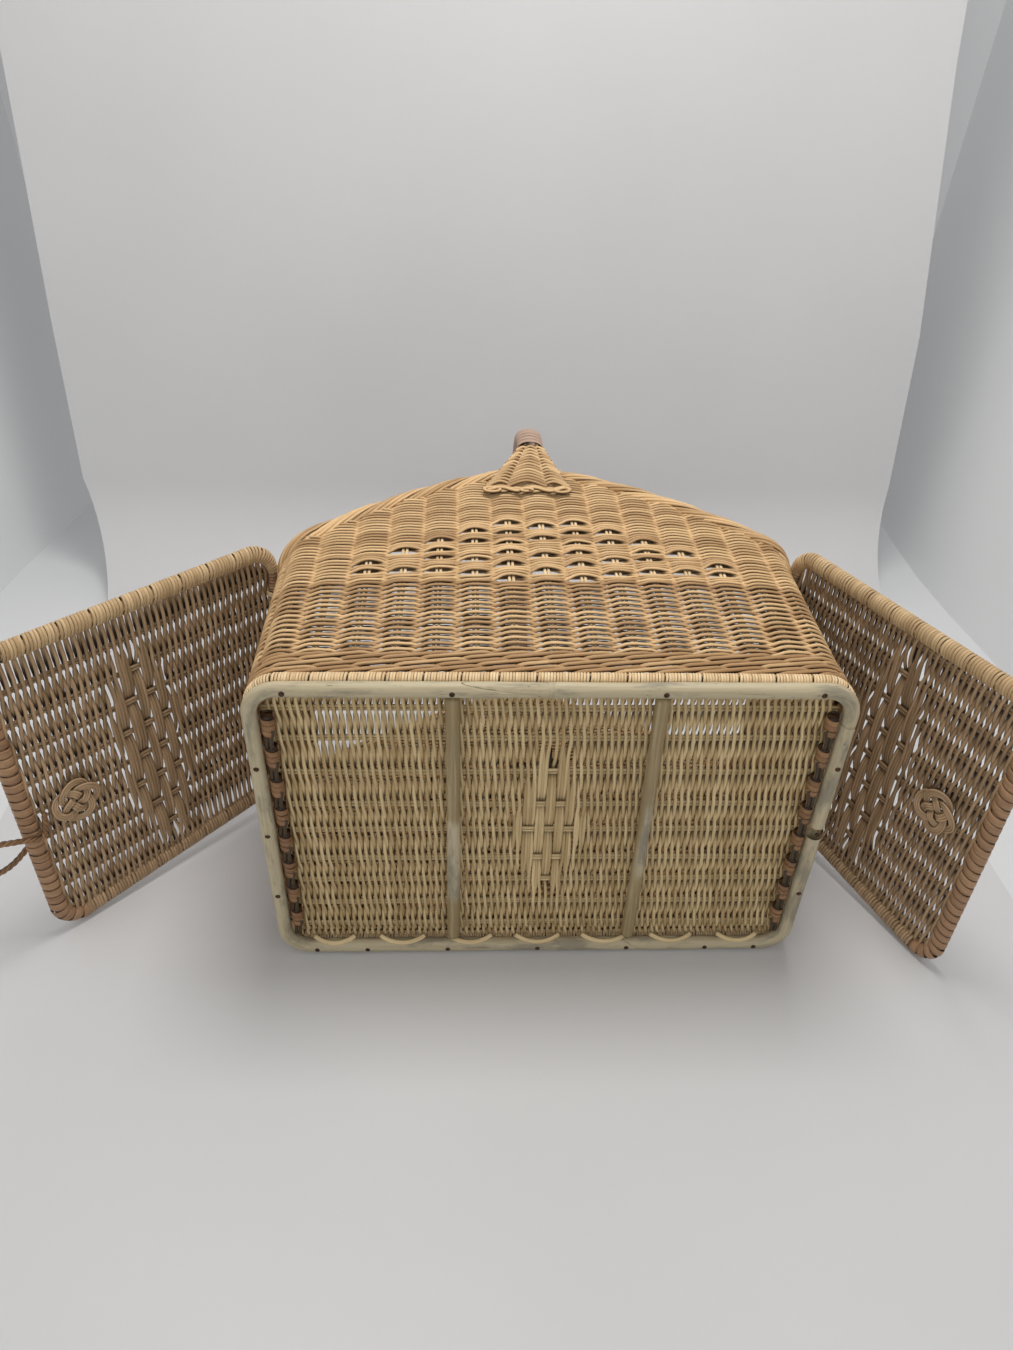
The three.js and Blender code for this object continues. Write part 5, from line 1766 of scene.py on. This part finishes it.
@dataclass
class Lid(Assembly):
    """One hinged lid.

    Args:
        seed: Seed of its reeds.
        stake_middle: Place of the middle pair of stakes along the hinge.
        stake_pitch: Distance between two pairs.
        knot: Place of the knot: distance from the hinge and along it.
        stakes: Pairs of stakes.
        length: Distance from the hinge to the free edge.
        hinge_width: Width at the hinge.
        free_width: Width at the free edge.
        corner: Radius of the free edge's corners.
        bend: Radius of the bends at the hinge.
        roll_width: Width of the side and free-edge rolls.
        roll_thickness: Thickness of those rolls.
        hinge_roll: Thickness of the hinge roll.
        row_pitch: Distance between two rows.
        lozenge: Bundles in the middle.
        swing: Distance of a weaver from the middle at a stake.
        twist: Distance of a weaver from its row where the pair crosses.
        reed: Half width of a weaver.
        stake: Half width of a stake.
        knot_reed: Half width of the knot's reeds.
    """

    seed: int
    stake_middle: float
    stake_pitch: float
    knot: tuple[float, float]
    stakes: int = 9
    length: float = 230.0
    hinge_width: float = 236.0
    free_width: float = 254.0
    corner: float = 18.0
    bend: float = 18.0
    roll_width: float = 15.0
    roll_thickness: float = 11.0
    hinge_roll: float = 10.0
    row_pitch: float = 4.9
    lozenge: Lozenge = Lozenge(123.0, 15.7, (2, 3, 2, 1))
    swing: float = 2.0
    twist: float = 1.0
    reed: float = 1.36
    stake: float = 1.1
    knot_reed: float = 1.05

    @staticmethod
    def hinged(palette: Palette, side: Side) -> "Lid":
        """Lid of one end, with its own stakes and knot.

        Args:
            palette: Materials of the basket.
            side: End of the basket.

        Returns:
            The lid.
        """
        if side is Side.LEFT:
            return Lid(palette, Body.LID_LEFT, Space.lid(side), 100, 9.6, 24.9, (189.0, 13.0))
        return Lid(palette, Body.LID_RIGHT, Space.lid(side), 200, -1.0, 26.5, (185.0, 4.0))

    def half_width(self, distance: np.ndarray | float) -> np.ndarray | float:
        """Half width of the lid's outer edge at a distance from its hinge."""
        return (self.hinge_width + (self.free_width - self.hinge_width) * distance / self.length) / 2

    def build(self) -> None:
        """Build every piece of the lid."""
        self.weave()
        self.side_rolls()
        self.free_roll()
        self.hinge_winding()
        self.button_knot()

    def weave(self) -> None:
        """Twined weavers along the hinge over paired stakes that run to the free edge."""
        numbers = np.arange(self.stakes) - self.stakes // 2
        places = self.stake_middle + self.stake_pitch * numbers
        near, far = 7.0, self.length - self.roll_width + 1
        rows = int(round((far - near) / self.row_pitch))
        weavers = Strands(self.seed + 1)
        for i in range(rows + 1):
            x = near + i * (far - near) / rows
            reach = float(self.half_width(x)) - self.roll_width / 2
            reach -= max(0.0, self.bend - x) * 0.9
            inside = np.abs(places) < reach - 5
            courses = np.concatenate([[-reach], places[inside], [reach]])
            sheet = TwinedSheet(courses, self.swing, self.twist)
            for along, across, out in sheet.pair(x, self.row_pitch, self.lozenge, numbers[inside], held=True):
                line = course(x + across + weavers.wobble(len(along), 0.18), along, out)
                weavers.add(line, self.reed, UP, flat=0.9, sway=0.8 * out / sheet.swing)
        name = self.body.value
        self.strands_piece(weavers, f"{name}_weavers", Finish.LID, [f"{name}_weave"])
        sticks = Strands(self.seed + 2)
        x = np.linspace(2, self.length - 8, 40)
        for y in places:
            for k in (-1, 1):
                line = course(x, y + 1.2 * k + 0.3 * np.sin(x / 33.0 + y), 0.0)
                sticks.add(line, self.stake, UP, tint=sticks.random.uniform(0.4, 0.9), sway=0.0)
        self.strands_piece(sticks, f"{name}_stakes", Finish.LID)

    def side_rolls(self) -> None:
        """Reed wound round the rods that bend from the hinge edge into both sides of the lid."""
        end = self.length - self.roll_width / 2 - self.corner
        turn = float(self.half_width(0.0)) - self.roll_width / 2 - self.bend
        angle = np.linspace(0, np.pi / 2, 16)
        bend_x = self.bend * (1 - np.cos(angle))
        bend_y = turn + self.bend * np.sin(angle) + self.half_width(bend_x) - self.half_width(0.0)
        run_x = np.linspace(self.bend, end, 50)[1:]
        plan_x = np.concatenate([[0.0], bend_x, run_x])
        plan_y = np.concatenate([[turn - 1.0], bend_y, self.half_width(run_x) - self.roll_width / 2])
        grown = np.concatenate([[0.0], angle * 2 / np.pi, np.ones(len(run_x))])
        start, full = self.hinge_roll / 2, (self.roll_width / 2 - 0.4, self.roll_thickness / 2 - 0.1)
        half = tuple(start + (size - start) * grown for size in full)
        # The upper roll, on the front wall that faces up, gets the pale finish as painted light; the lower roll, the
        # same reed, gets the browner lid finish as painted shade.
        front = -1 if self.body is Body.LID_LEFT else 1
        for wall, where, finish in ((LongWall.FRONT, front, Finish.PALE), (LongWall.BACK, -front, Finish.LID)):
            strands = Strands(self.seed + (3 if where > 0 else 4))
            path = course(plan_x, where * plan_y, 0.0)
            strands.wind(path, UP, half, 2.5, 2.45, 1.7, samples=16, group=9, group_gap=1.2)
            name = self.body.value
            self.strands_piece(strands, f"{name}_side_winding_{wall.word}", finish, [f"{name}_side_roll_{wall.word}"])

    def free_line(self) -> np.ndarray:
        """Middle line of the free-edge roll, bent round both corners.

        Returns:
            Points of the line.
        """
        inset, radius = self.roll_width / 2, self.corner
        x = self.length - inset
        start = x - radius
        half = float(self.half_width(x)) - inset
        angle = np.linspace(0, np.pi / 2, 14)
        corner = np.stack([start + radius * np.sin(angle), half - radius + radius * np.cos(angle)], axis=1)
        lead = np.array([[start - 0.5, float(self.half_width(start)) - inset]])
        run = np.stack([np.full(30, x), np.linspace(half - radius, -(half - radius), 32)[1:-1]], axis=1)
        plan = np.vstack([lead, corner, run, corner[::-1] * [1, -1], lead * [1, -1]])
        return np.hstack([plan, np.zeros((len(plan), 1))])

    def free_roll(self) -> None:
        """Dark flat strip wound round the free edge."""
        strands = Strands(self.seed + 5, sides=8)
        half = (self.roll_width / 2 - 1.1, self.roll_thickness / 2 - 0.3)
        strands.wind(self.free_line(), UP, half, 7.4, 6.9, 1.0, samples=20, core=0.86)
        name = self.body.value
        self.strands_piece(strands, f"{name}_free_winding", Finish.DARK, [f"{name}_free_edge_roll"])

    def hinge_winding(self) -> None:
        """Reed wound round the hinge rod."""
        reach = float(self.half_width(0.0)) - self.roll_width / 2 - self.bend - 1.3
        strands = Strands(self.seed + 6)
        path = course(0.0, np.linspace(-reach, reach, 60), 0.0)
        radius = self.hinge_roll / 2
        strands.wind(path, UP, (radius, radius), 2.7, 2.6, 1.7, samples=14, group=8, group_gap=1.0)
        name = self.body.value
        self.strands_piece(strands, f"{name}_hinge_winding", Finish.DARK, [f"{name}_hinge_roll"])

    def button_knot(self) -> None:
        """Flat woven knot of three parallel reeds led round three times."""
        strands = Strands(self.seed + 7, sides=8)
        turn = np.linspace(0, 6 * np.pi, 288, endpoint=False)
        phase = 4 * turn / 3
        radius = 9.6 + 5.9 * np.cos(phase)
        middle = np.stack([radius * np.cos(turn), radius * np.sin(turn)], axis=1)
        tangent = ring_tangent(middle)
        normal = np.stack([tangent[:, 1], -tangent[:, 0]], axis=1)
        for k in (-1, 0, 1):
            plan = middle + normal * k * 1.75
            line = course(plan[:, 0] + self.knot[0], plan[:, 1] + self.knot[1], 6.0 + 1.5 * np.sin(2 * phase))
            strands.add(line, self.knot_reed, UP, closed=True, tint=0.85)
        name = self.body.value
        self.strands_piece(strands, f"{name}_button_knot", Finish.LID, [f"{name}_knot"])


@dataclass
class ClosingCord(Assembly):
    """Twisted reed cord that closes the lids, on the left lid.

    Args:
        thickness: Thickness of the cord.
        far: Distance of the lid's free edge from the hinge.
        roll: Thickness of the free-edge roll that it crosses.
        face: Distance of the lid's outer face from its middle.
        plies: Reeds laid up in the cord.
        ply: Half width of such a reed.
        lay: Length of one turn of the reeds.
    """

    thickness: float = 4.4
    far: float = 230.0
    roll: float = 11.0
    face: float = 3.1
    plies: int = 3
    ply: float = 1.12
    lay: float = 13.0

    def build(self) -> None:
        """Build the cord."""
        over, out, far = (self.roll + self.thickness) / 2, self.face + self.thickness, self.far
        route = [
            (far - 18, 8, out), (far - 12, 26, over), (far + 2, 20, over), (far + 26, 14, 2),
            (far + 52, 24, -8), (far + 60, 42, -14), (far + 40, 54, -16), (far + 12, 50, -over),
            (far - 10, 38, -over), (far - 22, 30, -out),
        ]
        line = spline(route, 220)
        reach = travelled(line)
        tangent = unit(np.gradient(line, axis=0))
        side = unit(np.cross(tangent, np.array([0.0, 0.2, 1.0])))
        rise = np.cross(side, tangent)
        strands = Strands(300, sides=8)
        for k in range(self.plies):
            angle = 2 * np.pi * (reach / self.lay + k / self.plies)
            radial = np.cos(angle)[:, None] * side + np.sin(angle)[:, None] * rise
            strands.add(line + (self.thickness / 2 - self.ply) * radial, self.ply, rise)
        piece = self.strands_piece(strands, "closing_cord", Finish.CORD, ["closing_loop"])
        path = self.space.place(line)
        tuple(path[0])
        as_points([tuple(p) for p in path[::4]] + [tuple(path[-1])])


@dataclass(frozen=True)
class Lamp:
    """Square soft lamp.

    Args:
        name: Its name.
        place: Where it hangs, in metres.
        target: Point that it shines at.
        size: Its width, in metres.
        power: Its power, in watts.
        colour: Its colour.
    """

    name: str
    place: tuple[float, float, float]
    target: tuple[float, float, float]
    size: float
    power: float
    colour: Colour = linear("fffdfa")

    def build(self) -> None:
        """Hang the lamp."""
        lamp = bpy.data.lights.new(self.name, "AREA")
        lamp.shape = "SQUARE"
        lamp.size = self.size
        lamp.energy = self.power
        lamp.color = self.colour
        ahead = unit(np.array(self.target) - np.array(self.place))
        right = unit(np.cross(ahead, np.array([0.0, 1.0, 0.2])))
        add_object(self.name, lamp).matrix_world = view_matrix(right, np.cross(right, ahead), ahead, self.place)


@dataclass(frozen=True)
class Camera:
    """Camera that repeats the photograph's view.

    Args:
        place: Where it stands, in millimetres.
        right: Its right-hand direction.
        up: Its upward direction.
        ahead: Direction that it looks in.
        focal: Focal length, in pixels of the photograph.
        picture_height: Height of the photograph, in pixels.
        sensor: Height of the sensor, in millimetres.
    """

    place: tuple[float, float, float] = (-22.208, -686.521, 571.356)
    right: tuple[float, float, float] = (0.99915, -0.03212, 0.02605)
    up: tuple[float, float, float] = (-0.00403, 0.55114, 0.83441)
    ahead: tuple[float, float, float] = (0.04115, 0.83380, -0.55053)
    focal: float = 966.68
    picture_height: int = 1350
    sensor: float = 36.0

    def build(self) -> None:
        """Set up the camera."""
        data = bpy.data.cameras.new("photo_camera")
        data.sensor_fit = "VERTICAL"
        data.sensor_height = self.sensor
        data.lens = self.focal / self.picture_height * self.sensor
        data.clip_start = 0.01
        data.clip_end = 50.0
        camera = add_object("photo_camera", data)
        camera.matrix_world = view_matrix(self.right, self.up, self.ahead, [value * MM for value in self.place])
        bpy.context.scene.camera = camera


@dataclass(frozen=True)
class Studio:
    """Paper sweep, tent of cloth, sky and lamps.

    Args:
        paper: Finish of the seamless paper.
        cloth: Colour of the tent.
        sky: Colour of the light from all sides.
        sky_strength: Its strength.
        bend: Radius of the paper's curve into the backdrop.
        back: Place of the backdrop.
        lamps: The lamps.
    """

    paper: SheetLook = SheetLook(linear("d5d5d6"), 0.7)
    cloth: Colour = linear("d6d7d8")
    sky: Colour = linear("f4f5f6")
    sky_strength: float = 0.29
    bend: float = 0.12
    back: float = 0.42
    lamps: tuple[Lamp, ...] = (
        Lamp("key", (0.1, 0.0, 1.35), (0.0, 0.0, 0.1), 0.45, 8.2),
        Lamp("front", (-0.2, -1.5, 1.0), (0.0, -0.1, 0.1), 0.8, 4.6),
    )

    def build(self) -> None:
        """Put everything that isn't the basket in the scene."""
        self.sweep()
        self.tent()
        world = bpy.data.worlds.new("studio_sky")
        bpy.context.scene.world = world
        world.use_nodes = True
        light = world.node_tree.nodes["Background"]
        light.inputs["Color"].default_value = (*self.sky, 1.0)
        light.inputs["Strength"].default_value = self.sky_strength
        for lamp in self.lamps:
            lamp.build()

    def sheet(self, name: str, rows: list[tuple], look: SheetLook) -> None:
        """Add a sheet through rows of left and right points.

        Args:
            name: Name of the sheet.
            rows: Left and right end of each row, in metres.
            look: Its finish.
        """
        mesh = bpy.data.meshes.new(name)
        points = [end for row in rows for end in row]
        faces = [(2 * i, 2 * i + 1, 2 * i + 3, 2 * i + 2) for i in range(len(rows) - 1)]
        mesh.from_pydata(points, [], faces)
        mesh.shade_smooth()
        mesh.materials.append(look.build(name))
        add_object(name, mesh)

    def sweep(self) -> None:
        """Seamless paper, curved up into a narrow backdrop."""
        rows = [((-0.42, y, 0.0), (0.42, y, 0.0)) for y in (-1.3, -0.6, -0.1)]
        rows.append(((-0.432, 0.3, 0.0), (0.475, 0.3, 0.0)))
        steps = 12
        for share in (k / steps for k in range(1, steps + 1)):
            angle = math.pi / 2 * share
            y, z = self.back - self.bend + self.bend * math.sin(angle), self.bend * (1 - math.cos(angle))
            rows.append(((-0.44 - 0.04 * share, y, z), (0.485 + 0.012 * share, y, z)))
        for left, right, y, z in ((-0.478, 0.49, 0.425, 0.3), (-0.47, 0.46, 0.43, 0.56), (-0.465, 0.41, 0.45, 1.3)):
            rows.append(((left, y, z), (right, y, z)))
        self.sheet("paper_sweep", rows, self.paper)

    def tent(self) -> None:
        """Tent of grey cloth round the paper, its sides hanging in soft folds."""
        # The tent's floor, sides and back glow faintly: painted light for the light shining through the cloth.
        floor = [((-0.9, y, -0.006), (0.9, y, -0.006)) for y in (-1.4, 0.9)]
        self.sheet("tent_floor", floor, SheetLook(self.cloth, 0.6, 0.1))
        for side, glow in ((Side.LEFT, 0.16), (Side.RIGHT, 0.12)):
            lines = []
            for k in range(25):
                y = -1.4 + 2.3 * k / 24
                fold = 0.012 * math.sin(9.0 * y + side) + 0.02 * math.sin(3.1 * y)
                lines.append(((side * (0.56 + fold), y, -0.01), (side * (0.66 + 1.5 * fold), y, 1.5)))
            self.sheet(f"tent_side_{side.word}", lines[::side], SheetLook(self.cloth, 0.55, glow))
        wall = [((-0.9, 0.72, -0.01), (0.9, 0.72, -0.01)), ((-0.9, 0.75, 1.5), (0.9, 0.75, 1.5))]
        self.sheet("tent_back", wall, SheetLook(self.cloth, 0.6, 0.15))


def main() -> None:
    """Build the scene in order."""
    logging.basicConfig(level=logging.INFO, format="%(name)s %(message)s")
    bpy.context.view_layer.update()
    bpy.context.scene.view_settings.view_transform = "Standard"
    palette, wall, upright = Palette(), Wall(), Space.upright()
    basket = (palette, Body.BASKET, upright, wall)
    parts = [
        Studio(), Camera(), ClosingCord(palette, Body.LID_LEFT, Space.lid(Side.LEFT)),
        Foot(*basket), Bottom(*basket), Sides(*basket), Handle(*basket),
        *(Lid.hinged(palette, side) for side in Side),
    ]
    for part in parts:
        LOG.info("building %s", type(part).__name__)
        part.build()


if __name__ == "__main__":
    main()
